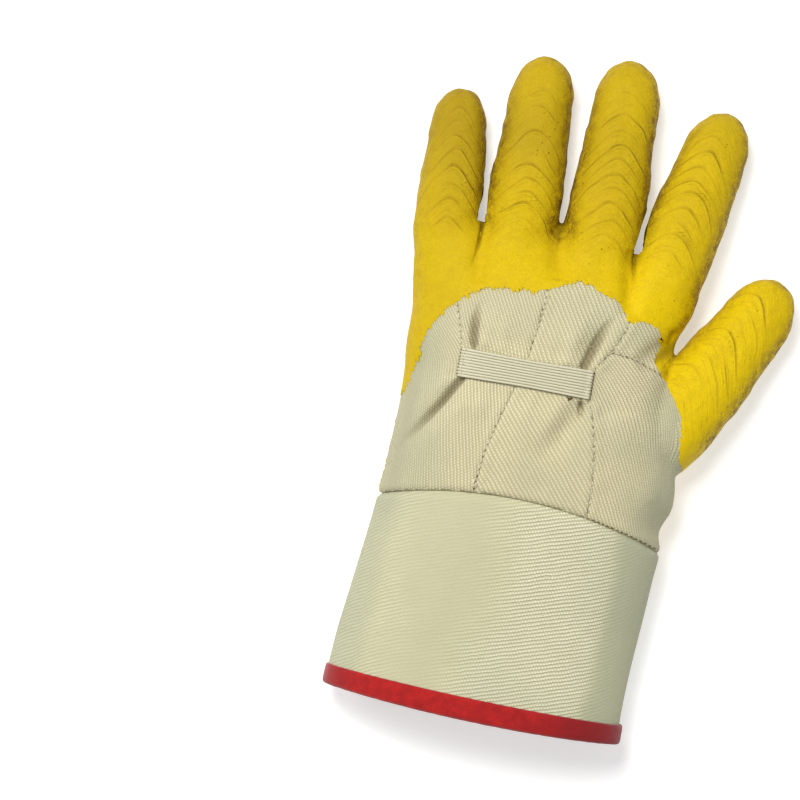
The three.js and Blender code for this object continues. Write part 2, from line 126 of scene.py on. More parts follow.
# Sharper creases and hollows in millimetres: a run of points, half width, height
CREASES = [
    ([(-32.6, 66), (-34.0, 72), (-34.5, 78), (-33.4, 87)], 1.3, -3.0),
    ([(-29, 68), (-28, 80), (-27, 90)], 3.0, 1.0),
    ([(-38, 68), (-40, 80), (-42, 88)], 2.5, 0.7),
    ([(13.0, 67), (15.2, 75), (18.8, 85), (23.5, 93)], 1.5, -3.2),
    ([(6, 69), (8, 80), (12, 92)], 4.0, 1.3),
    ([(18.5, 69), (20, 80), (24.5, 88)], 2.6, 0.8),
    ([(-34.2, 53.8), (-37.6, 48), (-41, 42), (-47, 32), (-56, 18)], 1.1, -2.8),
    ([(-40, 53), (-45, 42), (-52, 29), (-58, 17)], 3.5, 1.3),
    ([(-30, 53), (-34, 42), (-41, 30), (-49, 17)], 4.0, 1.0),
    ([(14.1, 54.8), (15.4, 50.5), (15.8, 45)], 0.9, -2.6),
    ([(14.5, 50), (10, 39), (4, 28), (1, 20)], 4.5, -1.5),
    ([(20, 53), (22, 38), (25, 24)], 3.0, 0.9),
    ([(7, 53), (3, 41), (-3, 30)], 4.0, 0.9),
    ([(-24, 53), (-25, 44), (-26, 34)], 3.0, 0.7),
    ([(-5, 54), (-6, 46), (-8, 38)], 2.0, 0.5),
    ([(2, 68), (2, 76), (1, 84)], 2.2, -0.5),
    ([(-22, 68), (-22, 77), (-21, 86)], 2.5, 0.6),
    ([(35, 72), (41, 79), (50, 85)], 4.0, -2.6),
    ([(46, 86), (52, 90), (58, 97)], 3.0, -2.2),
    ([(-39, 121), (-38.5, 106), (-36, 92)], 4.5, -2.6),
    ([(-7, 126), (-6, 112), (-4.5, 100)], 4.5, -2.4),
    ([(24.5, 119), (25.5, 104), (27, 91)], 4.2, -3.0),
    ([(52, 20), (57, 12), (60, 6)], 3.5, -1.2),
    ([(44, 8), (50, 20), (54, 36)], 5.0, 0.6),
]
# Where neighbouring fingers touch above their roots
TOUCHING = [
    [(-42.6, 140), (-41.5, 134), (-39.8, 125), (-39.5, 117.5), (-39.4, 111), (-39.6, 104.5), (-40.5, 96)],
    [(28.0, 144), (27.0, 138.5), (26.0, 128.3), (24.6, 121), (24.0, 116), (25.4, 110), (26.6, 100)],
]
SLIT_END = 117.5  # where the gap between two such fingers closes
# Rings of skin on the digits, from the little finger's: how far along, where round the digit they are
# strongest, in degrees, how far round they reach, how high they stand
RINGS = [
    [(64, 0, 55, 0.5), (58, -20, 50, 0.35), (52.5, 10, 70, 0.6), (46, 0, 80, 0.7), (39.4, 0, 90, 1.0),
     (33, 20, 70, 0.5), (27, -10, 80, 0.6), (19, 10, 80, 0.9), (60, 180, 70, 0.7), (47, 170, 80, 1.0),
     (35, 190, 70, 0.8), (22, 180, 80, 0.7)],
    [(78, 0, 50, 0.4), (71.9, 5, 65, 0.6), (66, -20, 50, 0.35), (59.9, 0, 85, 0.8), (53.5, 15, 60, 0.4),
     (48, -5, 80, 0.8), (41, 0, 70, 0.6), (35.5, 15, 60, 0.5), (31, 0, 85, 0.9), (24, -10, 60, 0.4),
     (84, 180, 70, 0.7), (76, 175, 80, 1.0), (62, 185, 80, 1.0), (47, 180, 70, 0.8), (30, 180, 70, 0.6)],
    [(84, 5, 45, 0.4), (75, 3, 80, 1.0), (68, -15, 60, 0.5), (61, 3, 85, 1.0), (55, 0, 60, 0.6),
     (49, 0, 75, 0.8), (43, 10, 60, 0.5), (36.5, 0, 80, 0.9), (30, -10, 55, 0.5), (24, 10, 60, 0.4),
     (86, 180, 70, 0.8), (78, 180, 80, 1.0), (70, 185, 60, 0.5), (62, 180, 80, 1.0), (40, 175, 80, 0.8)],
    [(75, -10, 45, 0.5), (68, -8, 85, 1.0), (62, -6, 75, 0.8), (55.5, -8, 60, 0.6), (50, -5, 85, 0.8),
     (43, -10, 60, 0.8), (37, 0, 50, 0.5), (32, -5, 70, 0.8), (24.5, -5, 50, 0.6), (66, 180, 80, 1.0),
     (58, 175, 80, 0.8), (40, 180, 80, 0.9)],
    [(86, 0, 75, 0.9), (79, 25, 45, 0.4), (73, -10, 40, 0.25), (66, 0, 80, 0.9), (60, 30, 50, 0.5),
     (53, 20, 50, 0.4), (45, -15, 55, 0.4), (37, 15, 45, 0.35), (29, -10, 50, 0.4), (21, 0, 50, 0.3),
     (78, 180, 80, 0.9), (66, 180, 80, 0.8), (54, 180, 80, 1.0), (40, 190, 80, 0.8), (26, 180, 80, 0.7)],
]
RING_DROP = 44.0  # how much nearer the root a ring runs on the inside of a digit than on its back


def smoothstep(value, low, high):
    t = np.clip((value - low) / (high - low), 0, 1)
    return t * t * (3 - 2 * t)


def smooth(places, values, at):
    """A smooth curve through values at places."""
    places, values = np.asarray(places, float), np.asarray(values, float)
    slopes = np.gradient(values, places, axis=0)
    at = np.clip(at, places[0], places[-1])
    i = np.clip(np.searchsorted(places, at) - 1, 0, len(places) - 2)
    gap = places[i + 1] - places[i]
    t = (at - places[i]) / gap
    if values.ndim > 1:
        t, gap = np.expand_dims(t, -1), np.expand_dims(gap, -1)
    a, b, slope_a, slope_b = values[i], values[i + 1], slopes[i] * gap, slopes[i + 1] * gap
    bend = 3 * (b - a) - 2 * slope_a - slope_b
    return a + t * (slope_a + t * (bend + t * (2 * (a - b) + slope_a + slope_b)))


def lattice(cell, seed):
    """A repeatable random number from -1 to 1 for each whole-numbered cell, from a hash of it."""
    h = (cell[..., 0] * 374761393 + cell[..., 1] * 668265263 + cell[..., 2] * 1274126177 + seed * 974634777)
    h &= 0xFFFFFFFF
    h = ((h ^ (h >> 13)) * 1274126177) & 0xFFFFFFFF
    return ((h ^ (h >> 16)) & 0xFFFF) / 32767.5 - 1


def noise(points, size, seed):
    """Smooth lumps from -1 to 1, about size across."""
    spots = np.asarray(points, float) / size
    base = np.floor(spots).astype(np.int64)
    share = smoothstep(spots - base, 0, 1)
    total = 0
    for corner in itertools.product((0, 1), repeat=3):
        total = total + np.prod(np.where(corner, share, 1 - share), axis=-1) * lattice(base + corner, seed)
    return total


def columns(*values):
    """A table with a column for each value."""
    return np.stack(np.broadcast_arrays(*values), axis=1)


def distances(points):
    """How far along a line each of its points lies."""
    return np.r_[0, np.cumsum(np.linalg.norm(np.diff(points, axis=0), axis=1))]


def halves(quads):
    """The two sets of triangles that four-cornered faces make."""
    return [quads[:, [0, 1, 2]], quads[:, [0, 2, 3]]]


def softened(value):
    """A sine or cosine as it is on the hand's squarish sections."""
    return np.sign(value) * np.abs(value) ** (2 / ROUNDNESS)


def seam_bow(share, up):
    """How far up the hand the wrist seam runs, at a share of the way across it."""
    return np.where(up > 0, BACK_SEAM_BOW, PALM_SEAM_BOW) * (1 - share ** 2)


def section_points(angle, little, thumb, height, offset=0.0, floor=0.0, shrink=1.0):
    """A section's points: where they are across, and how high."""
    level = height * WIDEST_AT
    up = softened(np.sin(angle))
    half = ((little + thumb) / 2 + offset) * shrink
    reach = (np.where(up > 0, height - level, level + SAG * height) + offset) * shrink
    x = (thumb - little) / 2 + half * softened(np.cos(angle))
    return x, np.maximum(level + reach * up, floor - offset)


def tube(rows):
    """The four-cornered faces through equal rings of points."""
    count, sides = len(rows), len(rows[0])
    i, j = np.meshgrid(np.arange(count - 1), np.arange(sides), indexing="ij")
    a, b = i * sides + j, i * sides + (j + 1) % sides
    return np.stack([a, b, b + sides, a + sides], axis=-1).reshape(-1, 4)


def palm_rings():
    """The hand's skin without its digits, from inside the cuff to the roots of the fingers."""
    turn = -np.linspace(0, 2 * np.pi, HAND_SIDES, endpoint=False)
    rows = []
    for along in np.linspace(-0.15, 1, 80):
        little, thumb, height = smooth(PALM_SECTIONS[:, 0], PALM_SECTIONS[:, 1:], along)
        x, z = section_points(turn, little * PALM_HALF, thumb * PALM_HALF, height * PALM_HEIGHT)
        bent = np.clip(1 - along / BOW_ENDS, 0, 1)
        y = along * PALM_LENGTH + bent * seam_bow(softened(np.cos(turn)), np.sin(turn))
        rows.append(np.stack([x, y, z], axis=1))
    return rows


def digit_axis(row, s):
    """The point of a digit's axis at a distance from its root, and the way across it."""
    across, along, lean, turn, length = row[:5]
    chord = np.radians(lean + turn * s / length / 2)
    heading = np.radians(lean + turn * s / length)
    root = np.array([across * PALM_HALF, along * PALM_LENGTH])
    middle = root + np.stack([np.sin(chord), np.cos(chord)], axis=-1) * np.expand_dims(s, -1)
    return middle, heading


def digit_size(row, s):
    """A digit's half width and height at a distance from its root."""
    shaft = row[4] - TIP_REACH * row[5]
    width, height = np.moveaxis(smooth(DIGIT_SECTIONS[:, 0], DIGIT_SECTIONS[:, 1:], s / shaft), -1, 0)
    return width * row[5] / 2, height * row[6]


def digit_rings(row):
    turn = -np.linspace(0, 2 * np.pi, DIGIT_SIDES, endpoint=False)
    tip = TIP_REACH * row[5]
    shaft = row[4] - tip
    stops = [(s, 1.0) for s in np.linspace(0, shaft, 40, endpoint=False)]
    stops += [(shaft + tip * math.sin(t), math.cos(t)) for t in np.radians(np.linspace(0, 86, 16))]
    rows = []
    for s, shrink in stops:
        half, height = digit_size(row, min(s, shaft))
        x, z = section_points(turn, half, half, height, shrink=shrink)
        middle, heading = digit_axis(row, np.float64(s))
        rows.append(np.stack([middle[0] + x * np.cos(heading), middle[1] - x * np.sin(heading), z], axis=1))
    return rows


def digit_places(points, row):
    """For points near a digit: how far along it, how far round it from its back, how far off its surface."""
    xy = points[:, :2]
    lean = math.radians(row[2])
    root = np.array([row[0] * PALM_HALF, row[1] * PALM_LENGTH])
    s = (xy - root) @ np.array([math.sin(lean), math.cos(lean)])
    for _ in range(3):
        middle, heading = digit_axis(row, s)
        off = xy - middle
        s = s + off[:, 0] * np.sin(heading) + off[:, 1] * np.cos(heading)
    middle, heading = digit_axis(row, s)
    off = xy - middle
    aside = off[:, 0] * np.cos(heading) - off[:, 1] * np.sin(heading)
    tip = TIP_REACH * row[5]
    shaft = row[4] - tip
    half, height = digit_size(row, np.clip(s, 0, shaft))
    level = height * WIDEST_AT
    up = points[:, 2] - level
    reach = np.where(up > 0, height - level, level + SAG * height)
    flat = (np.abs(aside / half) ** ROUNDNESS + np.abs(up / reach) ** ROUNDNESS) ** (1 / ROUNDNESS)
    radius = np.hypot(flat, np.clip(s - shaft, 0, None) / tip)
    turned = np.arctan2(aside / half, up / reach) - math.radians(row[7])
    turned = (turned + np.pi) % (2 * np.pi) - np.pi
    return s, turned, (radius - 1) * half, half


def line(rows, step=2.5):
    """A smooth line through places given in shares of the palm."""
    return smooth_run(np.array(rows, float) * [PALM_HALF, PALM_LENGTH], step)


def smooth_run(points, step):
    """A smooth line through points, with a point at about every step."""
    points = np.array(points, float)
    far = distances(points)
    return smooth(far, points, np.linspace(0, far[-1], max(2, int(far[-1] / step) + 1)))


def beside(xy, run):
    """How far places lie to the left of a line, and how far along it their nearest point is."""
    best = np.full(len(xy), np.inf)
    across, along = np.zeros(len(xy)), np.zeros(len(xy))
    done = 0.0
    for a, b in zip(run[:-1], run[1:]):
        way = b - a
        length = math.hypot(*way)
        rel = xy - a
        t = np.clip(rel @ way / length ** 2, 0, 1)
        off = rel - t[:, None] * way
        gap = (off ** 2).sum(axis=1)
        near = gap < best
        best = np.where(near, gap, best)
        across = np.where(near, np.sign(way[0] * rel[:, 1] - way[1] * rel[:, 0]) * np.sqrt(gap), across)
        along = np.where(near, done + t * length, along)
        done += length
    return across, along


def normals(points, faces):
    """Which way a skin faces at each of its points."""
    a, b, c = (points[faces[:, k]] for k in range(3))
    flat = np.cross(b - a, c - a)
    total = np.zeros_like(points)
    for k in range(3):
        for axis in range(3):
            total[:, axis] += np.bincount(faces[:, k], flat[:, axis], len(points))
    return total / np.maximum(np.linalg.norm(total, axis=1, keepdims=True), 1e-12)


def relax(points, faces, rounds, by=0.5, back=-0.53):
    """Smooths a surface without shrinking it."""
    edges = np.unique(np.sort(faces[:, [[0, 1], [1, 2], [2, 0]]].reshape(-1, 2), axis=1), axis=0)
    ends = np.concatenate([edges, edges[:, ::-1]])
    count = np.bincount(ends[:, 0], minlength=len(points))[:, None]
    points = points.copy()
    for i in range(2 * rounds):
        mean = columns(*(np.bincount(ends[:, 0], points[ends[:, 1], k], len(points)) for k in range(3)))
        points += (by if i % 2 == 0 else back) * (mean / count - points)
    return points


def split(table, faces, chosen, share):
    """Cuts the chosen edges at a share of their length, with the faces beside them."""
    pairs = np.sort(faces[:, [[0, 1], [1, 2], [2, 0]]].reshape(-1, 2), axis=1).astype(np.int64)
    keys, back = np.unique(pairs[:, 0] * len(table) + pairs[:, 1], return_inverse=True)
    first, last = keys // len(table), keys % len(table)
    cut = chosen(table[first], table[last])
    first, last = first[cut], last[cut]
    t = share(table[first], table[last])[:, None]
    at = np.full(len(keys), -1)
    at[cut] = len(table) + np.arange(len(first))
    table = np.vstack([table, table[first] * (1 - t) + table[last] * t])
    mid = at[back.reshape(-1)].reshape(-1, 3)
    count = (mid >= 0).sum(axis=1)
    whole = [faces[count == 0]]
    for wanted in (1, 2):
        some = count == wanted
        f, m = faces[some], mid[some]
        odd = np.argmax(m >= 0, axis=1) if wanted == 1 else np.argmax(m < 0, axis=1)
        order = (odd[:, None] + np.arange(3)) % 3
        f, m = np.take_along_axis(f, order, 1), np.take_along_axis(m, order, 1)
        v0, v1, v2 = f.T
        m0, m1, m2 = m.T
        if wanted == 1:
            whole += [np.stack([v0, m0, v2], 1), np.stack([m0, v1, v2], 1)]
        else:
            whole += [np.stack([m1, v2, m2], 1), np.stack([v0, v1, m1], 1), np.stack([v0, m1, m2], 1)]
    f, m = faces[count == 3], mid[count == 3]
    v0, v1, v2 = f.T
    m0, m1, m2 = m.T
    whole += [np.stack(t, 1) for t in ((v0, m0, m2), (m0, v1, m1), (m2, m1, v2), (m0, m1, m2))]
    return table, np.concatenate(whole)


def refine(table, faces, column, widths, field):
    """Makes the faces finer near where a column is 0."""
    for width in widths:
        table, faces = split(
            table, faces,
            lambda a, b: (np.minimum(np.abs(a[:, column]), np.abs(b[:, column])) < width)
            | ((a[:, column] > 0) != (b[:, column] > 0)),
            lambda a, b: np.full(len(a), 0.5),
        )
        table[:, column] = field(table[:, :3])
    return table, faces


def compact(table, faces):
    """Drops the points that no face uses."""
    used, back = np.unique(faces, return_inverse=True)
    return table[used], back.reshape(faces.shape)


def clip(table, faces, column):
    """Keeps what has a value over 0 in a column."""
    def crosses(a, b):
        return (a[:, column] > 0) != (b[:, column] > 0)

    def where(a, b):
        return np.clip(a[:, column] / (a[:, column] - b[:, column]), 0.02, 0.98)
    marked = table[:, column] > 0
    table = np.column_stack([table, marked])
    old = len(table)
    table, faces = split(table, faces, crosses, where)
    mark = table[:, -1].copy()
    mark[old:] = 0
    kept = (mark[faces] > 0.5).any(axis=1)
    return compact(table[:, :-1], faces[kept])


def shell(points, faces, depth, cell, near=2, keep=None):
    """A closed skin: its outer face, an inner one that is coarser away from the rim, and the rim."""
    count = len(points)
    inner = points - normals(points, faces) * np.broadcast_to(depth, count)[:, None]
    directed = faces[:, [[0, 1], [1, 2], [2, 0]]].reshape(-1, 2).astype(np.int64)
    keys = directed[:, 0] * count + directed[:, 1]
    rim = directed[~np.isin(keys, directed[:, 1] * count + directed[:, 0])]
    fixed = np.zeros(count, bool) if keep is None else keep.copy()
    fixed[rim.ravel()] = True
    for _ in range(near):
        fixed[faces[fixed[faces].any(axis=1)].ravel()] = True
    cells = np.floor(inner / cell).astype(np.int64) + 1000
    code = (cells[:, 0] * 4000 + cells[:, 1]) * 4000 + cells[:, 2]
    code = np.where(fixed, -1 - np.arange(count), code)
    member = np.unique(code, return_inverse=True)[1].reshape(-1)
    size = np.bincount(member)[:, None]
    merged = columns(*(np.bincount(member, inner[:, k]) for k in range(3))) / size
    back = member[faces[:, ::-1]]
    back = back[(back[:, 0] != back[:, 1]) & (back[:, 1] != back[:, 2]) & (back[:, 2] != back[:, 0])]
    _, kind, number = np.unique(np.sort(back, axis=1), axis=0, return_inverse=True, return_counts=True)
    back = back[number[kind.reshape(-1)] == 1]
    a, b = rim.T
    under_a, under_b = count + member[a], count + member[b]
    sides = np.concatenate([columns(b, a, under_a), columns(b, under_a, under_b)])
    source = np.r_[np.arange(count), np.unique(member, return_index=True)[1]]
    return np.vstack([points, merged]), np.concatenate([faces, count + back, sides]), source


def build(name, points, faces, looks, values=None, slot=None, nodes=()):
    """Puts a piece in the frame, with its material and its values at each point."""
    mesh = bpy.data.meshes.new(name)
    mesh.from_pydata(((points - ORIGIN) / 1000).tolist(), [], np.asarray(faces).tolist())
    for label, value in (values or {}).items():
        layer = mesh.attributes.new(label, "FLOAT_VECTOR", "POINT")
        layer.data.foreach_set("vector", np.ascontiguousarray(value, dtype=np.float32).ravel())
    mesh.polygons.foreach_set("use_smooth", np.ones(len(mesh.polygons), bool))
    mesh.update()
    piece = bpy.data.objects.new(name, mesh)
    bpy.context.scene.collection.objects.link(piece)
    mesh.materials.append(looks)
    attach(piece, "root")
    if nodes:
        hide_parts(*nodes)
    return piece


def build_shell(name, points, faces, depth, cell, looks, values, slot, nodes=(), **options):
    """Builds a closed skin, whose inner points take the values of the outer ones over them."""
    points, faces, source = shell(points, faces, depth, cell, **options)
    values = {key: value[source] for key, value in values.items()}
    return build(name, points, faces, looks, values, slot, nodes)


def united(lofts):
    """One skin of even triangles round several closed lofts."""
    points, faces, count = [], [], 0
    for rows in lofts:
        sides = len(rows[0])
        quads = tube(rows) + count
        faces += quads.tolist()
        faces.append([count + j for j in range(sides)][::-1])
        faces.append([count + (len(rows) - 1) * sides + j for j in range(sides)])
        points += [point for row in rows for point in row.tolist()]
        count += len(rows) * sides
    mesh = bpy.data.meshes.new("skin")
    mesh.from_pydata(points, [], faces)
    skin = bpy.data.objects.new("skin", mesh)
    bpy.context.scene.collection.objects.link(skin)
    remesh = skin.modifiers.new("remesh", "REMESH")
    remesh.mode = "VOXEL"
    remesh.voxel_size = VOXEL
    done = skin.evaluated_get(bpy.context.evaluated_depsgraph_get()).to_mesh()
    found = np.empty(len(done.vertices) * 3)
    done.vertices.foreach_get("co", found)
    corners = np.empty(len(done.loops), dtype=np.int32)
    done.loops.foreach_get("vertex_index", corners)
    quads = corners.reshape(-1, 4)
    bpy.data.objects.remove(skin)
    bpy.data.meshes.remove(mesh)
    return found.reshape(-1, 3), np.concatenate(halves(quads))


points, faces = united([palm_rings()] + [digit_rings(row) for row in DIGITS])
points = relax(points, faces, 14)
# The knuckles and the webs between the fingers are rounded further
knuckles = smoothstep(points[:, 1], 66, 84) * smoothstep(-points[:, 1], -128, -112)
knuckles = knuckles * smoothstep(points[:, 2], 16, 24)
gaps = np.maximum(np.stack([digit_places(points, row)[2] for row in DIGITS[:4]]), 0)
web = np.exp(-(np.sort(gaps, axis=0)[1] / 5) ** 2 - ((points[:, 1] - 121) / 9) ** 2) * (points[:, 2] > 3)
points += np.maximum(knuckles, web)[:, None] * (relax(points, faces, 70, back=0.0) - points)


def crease_field(points):
    """How far a point of the back lies from the nearest sharp crease."""
    runs = [(run, half) for run, half, _ in CREASES if half < 2] + [(run, 1.0) for run in TOUCHING]
    off = [np.abs(beside(points[:, :2], smooth_run(run, 3))[0]) - 0.6 * half for run, half in runs]
    slits = (points[:, 1] > SLIT_END - 4) & (points[:, 1] < 146)
    return np.maximum(np.min(off, axis=0), 0.01) + 9.0 * ((points[:, 2] < 8) & ~slits)


fine = np.column_stack([points, crease_field(points)])
fine, faces = refine(fine, faces, 3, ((1.4, 0.6)), crease_field)
points = fine[:, :3]


def palm_frame(points):
    """The shape of the hand's section at each point: how far across it is, and how high its top lies."""
    along = points[:, 1] / PALM_LENGTH
    little, thumb, height = smooth(PALM_SECTIONS[:, 0], PALM_SECTIONS[:, 1:], np.clip(along, -0.2, 1)).T
    half = (little + thumb) / 2 * PALM_HALF
    share = (points[:, 0] - (thumb - little) / 2 * PALM_HALF) / half
    return np.clip(share, -1, 1), height * PALM_HEIGHT


def fold_height(xy):
    """How far the cloth of the back is lifted at places, and how much painted shade its sharp creases get. It
    lies flat under the elastic."""
    off = np.abs(xy[:, 1] - ELASTIC_Y) - ELASTIC_WIDTH / 2
    reach = np.abs(xy[:, 0] - ELASTIC_X) - ELASTIC_LENGTH / 2
    free = np.maximum(smoothstep(off, 0.2 * ELASTIC_WIDTH, ELASTIC_WIDTH), smoothstep(reach, 4, 12))
    lift = np.zeros(len(xy))
    for across, along, to_across, to_along, half, height in BROAD_FOLDS:
        start = np.array([across * PALM_HALF, along * PALM_LENGTH])
        way = np.array([to_across * PALM_HALF, to_along * PALM_LENGTH]) - start
        rel = xy - start
        share = np.clip(rel @ way / (way @ way), 0, 1)
        aside = (rel[:, 0] * way[1] - rel[:, 1] * way[0]) / math.hypot(*way) / (half * PALM_HEIGHT)
        lift += height * PALM_HEIGHT * np.exp(-aside ** 2) * np.sin(np.pi * np.sqrt(share))
    lift *= free
    near = np.maximum(smoothstep(off, 0.0, 2.2), smoothstep(reach, 1, 6))
    dark = np.zeros(len(xy))
    for run, half, height in CREASES:
        run = smooth_run(run, 3)
        across, along = beside(xy, run)
        share = along / distances(run)[-1]
        ends = np.sqrt(np.clip(4 * share * (1 - share), 0, 1))
        starts_at_elastic = abs(run[0][1] - ELASTIC_Y) < 0.9 * ELASTIC_WIDTH
        fade = smoothstep(1 - share, 0, 0.7) if starts_at_elastic else ends
        beyond = np.exp(-(np.maximum(0, np.abs(across)) / half) ** 2)
        lift += height * beyond * fade * (near if starts_at_elastic else 1)
        # The sharpest deep creases also get painted shade, darkest along their middle line
        if height < -1.5 and half < 3:
            dark = np.maximum(dark, np.exp(-(across / half / 0.75) ** 2) * fade * min(1, -height / 2.6))
    return lift, dark


face_up = normals(points, faces)
up_side = smoothstep(face_up[:, 2], 0.05, 0.5)
cloth_area = smoothstep(points[:, 1], -20, -5) * (points[:, 1] < 140)
lift, dark = fold_height(points[:, :2])
points = points + face_up * (lift * up_side * cloth_area)[:, None]

# Columns of the table that follows each point through the cuts
X, Y, Z, NX, NY, NZ, COAT, WRIST, MIDDLE, THUMB, INDEX, TONE, CREASE_SHADE = range(13)


def coat_field(points):
    """How far inside the latex a point lies, with teeth where the latex has run along the threads."""
    across, _ = beside(points[:, :2], line(COAT_EDGE))
    side = SIDE_LINE - points[:, 2]
    ends = 0.5 * (noise(points, 9, 4) + noise(points, 4, 5))
    field = np.maximum(across, side + 1.2 * ends * smoothstep(-np.abs(side), -8, 0))
    threads = (points[:, 0] * math.sin(math.radians(52)) + points[:, 1] * math.cos(math.radians(52))) / 1.75
    threads = threads + 0.25 * noise(points, 3, 8)
    whole = np.floor(threads)
    cell = np.stack([whole, np.floor(points[:, 0] / 19), 0 * whole], axis=1).astype(np.int64)
    rounded = 1 - (2 * (threads - whole) - 1) ** 2
    tall = 0.7 + 0.5 * noise(points, 5, 7)
    return field + (0.9 * lattice(cell, 3) + 1.3 * rounded) * tall - 0.3 + 0.7 * noise(points, 6, 6)


table = np.column_stack([points, normals(points, faces), np.zeros((len(points), 6)), dark * up_side])
table[:, COAT] = coat_field(table[:, :3])
table, faces = refine(table, faces, COAT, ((1.6, 0.7)), coat_field)
points = table[:, :3]
share, top = palm_frame(points)
table[:, WRIST] = points[:, 1] - seam_bow(share, points[:, 2] - WIDEST_AT * top)
for column, seam in ((MIDDLE, MIDDLE_SEAM), (THUMB, THUMB_SEAM), (INDEX, INDEX_SEAM)):
    table[:, column] = beside(points[:, :2], line(seam))[0]


def skin_rings(points):
    """The latex's rings on the digits: how high they lift it, the nearest one's distance and strength, the
    coordinates that its fine wrinkles follow, how far onto a digit it is, and how near another digit."""
    count = len(points)
    lift, nearest, strength = np.zeros(count), np.full(count, FAR_OFF), np.zeros(count)
    flow = np.stack([points[:, 1], points[:, 0], 0 * points[:, 2]], axis=1)
    on_digit = np.zeros(count)
    x = np.linspace(0, 1, 60)
    slope = x / np.hypot(x, 0.13) * (1 - x) / np.hypot(1 - x, 0.3)
    drop = np.r_[0, np.cumsum((slope[1:] + slope[:-1]) / 2)]
    drop = RING_DROP * drop / drop[-1]
    places = [digit_places(points, row) for row in DIGITS]
    gaps = np.stack([place[2] for place in places])
    owner = np.abs(gaps).argmin(axis=0)
    for k, row in enumerate(DIGITS):
        s, turned, _, half = places[k]
        start = 9 if k < 4 else 14
        on = (owner == k) & (s > start)
        s, turned, half, spot = s[on], turned[on], half[on], points[on]
        mine = smoothstep(s, start, start + 10)
        warp = 1.3 * noise(spot, 13, 20 + k) + 0.5 * noise(spot, 4.5, 30 + k)
        dropped = np.interp(np.abs(turned) / np.pi, x, drop) * (1 - 0.6 * smoothstep(s, row[4] - 18, row[4]))
        q = s + dropped + warp
        flow[on] = np.stack([q + 100 * k, half * np.sin(turned), half * np.cos(turned)], axis=1)
        on_digit[on] = mine
        palm_tip = 0.85 * smoothstep(s, row[4] - 20, row[4] - 10) * smoothstep(np.abs(turned), 1.7, 2.3)
        extra = np.random.default_rng(40 + k)
        rings = [(*ring, True) for ring in RINGS[k]]
        for at in np.arange(14.0, row[4] + 30, 4.3):
            rings.append((at + extra.uniform(-2, 2), extra.uniform(-180, 180), extra.uniform(20, 50),
                          extra.uniform(0.15, 0.4), False))
        rise, closest, strong = np.zeros(len(s)), np.full(len(s), FAR_OFF), np.zeros(len(s))
        for number, (ring_at, middle, reach, height, main) in enumerate(rings):
            around = (turned - math.radians(middle) + np.pi) % (2 * np.pi) - np.pi
            patchy = 0.3 + 0.7 * smoothstep(noise(spot, 6, 300 + 40 * k + number), -0.5, 0.2)
            window = smoothstep(-np.abs(around), -math.radians(reach), -math.radians(reach) * 0.2)
            window = window * mine * patchy * (1 - palm_tip)
            base = ring_at + np.interp(abs(math.radians(middle)) / np.pi, x, drop) * (abs(middle) > 90)
            ring_warp = 0.9 * noise(spot, 8, 600 + 40 * k + number)
            t = q - base + ring_warp + 0.8 * extra.uniform(-1, 1) * around
            weight = height * window
            step = np.where(t < 0, np.exp(np.minimum(t, 0) / 2.2), -0.75 * np.exp(-np.maximum(t, 0) / 1.1))
            rise += 0.4 * weight * step * (1 - np.exp(-(t / 0.45) ** 2))
            closer = (np.abs(t) < np.abs(closest)) & (weight > 0.03) & main
            closest = np.where(closer, t, closest)
            strong = np.where(closer, weight * smoothstep(-np.abs(t), -2.4, -1.2), strong)
        lift[on], nearest[on], strength[on] = rise, closest, strong
    apart = np.sort(np.maximum(gaps[:4], 0), axis=0)[1]
    return lift, nearest, strength, flow, on_digit, apart


def latex_lift(points, depth, upright):
    """skin_rings with the coat's lumps and crinkles added to the lift."""
    lift, nearest, strength, flow, on_digit, apart = skin_rings(points)
    inside = smoothstep(depth, 0.0, 9.0)
    lumps = 0.42 * noise(points, 15, 50) + 0.22 * noise(points, 6, 51) + 0.1 * noise(points, 2.6, 52)
    crinkle = 0.13 * noise(flow * [1, 0.3, 0.3], 2.6, 53) * on_digit
    palm_side = (1 - on_digit) * smoothstep(-points[:, 2], -14, -4)
    edges = 0.5 * on_digit * upright * noise(points * [1, 1, 0.4], 4.4, 55)
    creases = palm_side * 0.35 * noise(points * [0.5, 1, 1], 4.5, 54)
    lift = (lift + lumps + crinkle + creases + edges) * (0.25 + 0.75 * inside)
    return lift * (1 - 0.8 * np.exp(-(apart / 2.5) ** 2)), nearest, strength, flow, on_digit, apart


def hem(distance, width=2.6, depth=1.5):
    """How far cloth turns inwards near an edge that is rolled under."""
    t = np.clip(1 - distance / width, 0, 1)
    return depth * (1 - np.sqrt(1 - t * t))


def slit_field(points):
    """How far a point lies outside the narrow gaps between touching fingers."""
    field = np.full(len(points), FAR_OFF)
    off_digits = np.min([digit_places(points, row)[2] for row in DIGITS[:4]], axis=0)
    for run in TOUCHING:
        off = np.abs(beside(points[:, :2], smooth_run(run, 2))[0])
        half = np.interp(points[:, 1], [SLIT_END, run[1][1]], [0.35, 0.8])
        gap = np.minimum(off - half, np.maximum(0.3 - off_digits, off - 3))
        field = np.minimum(field, np.maximum(gap, SLIT_END - points[:, 1]))
    return field


hand, hand_faces = clip(table, faces, WRIST)
coat, coat_faces = clip(hand, hand_faces, COAT)
coat[:, TONE] = slit_field(coat[:, :3])
coat, coat_faces = clip(coat, coat_faces, TONE)
bare = hand.copy()
bare[:, COAT] = 1.1 - bare[:, COAT]
cloth, cloth_faces = clip(bare, hand_faces, COAT)


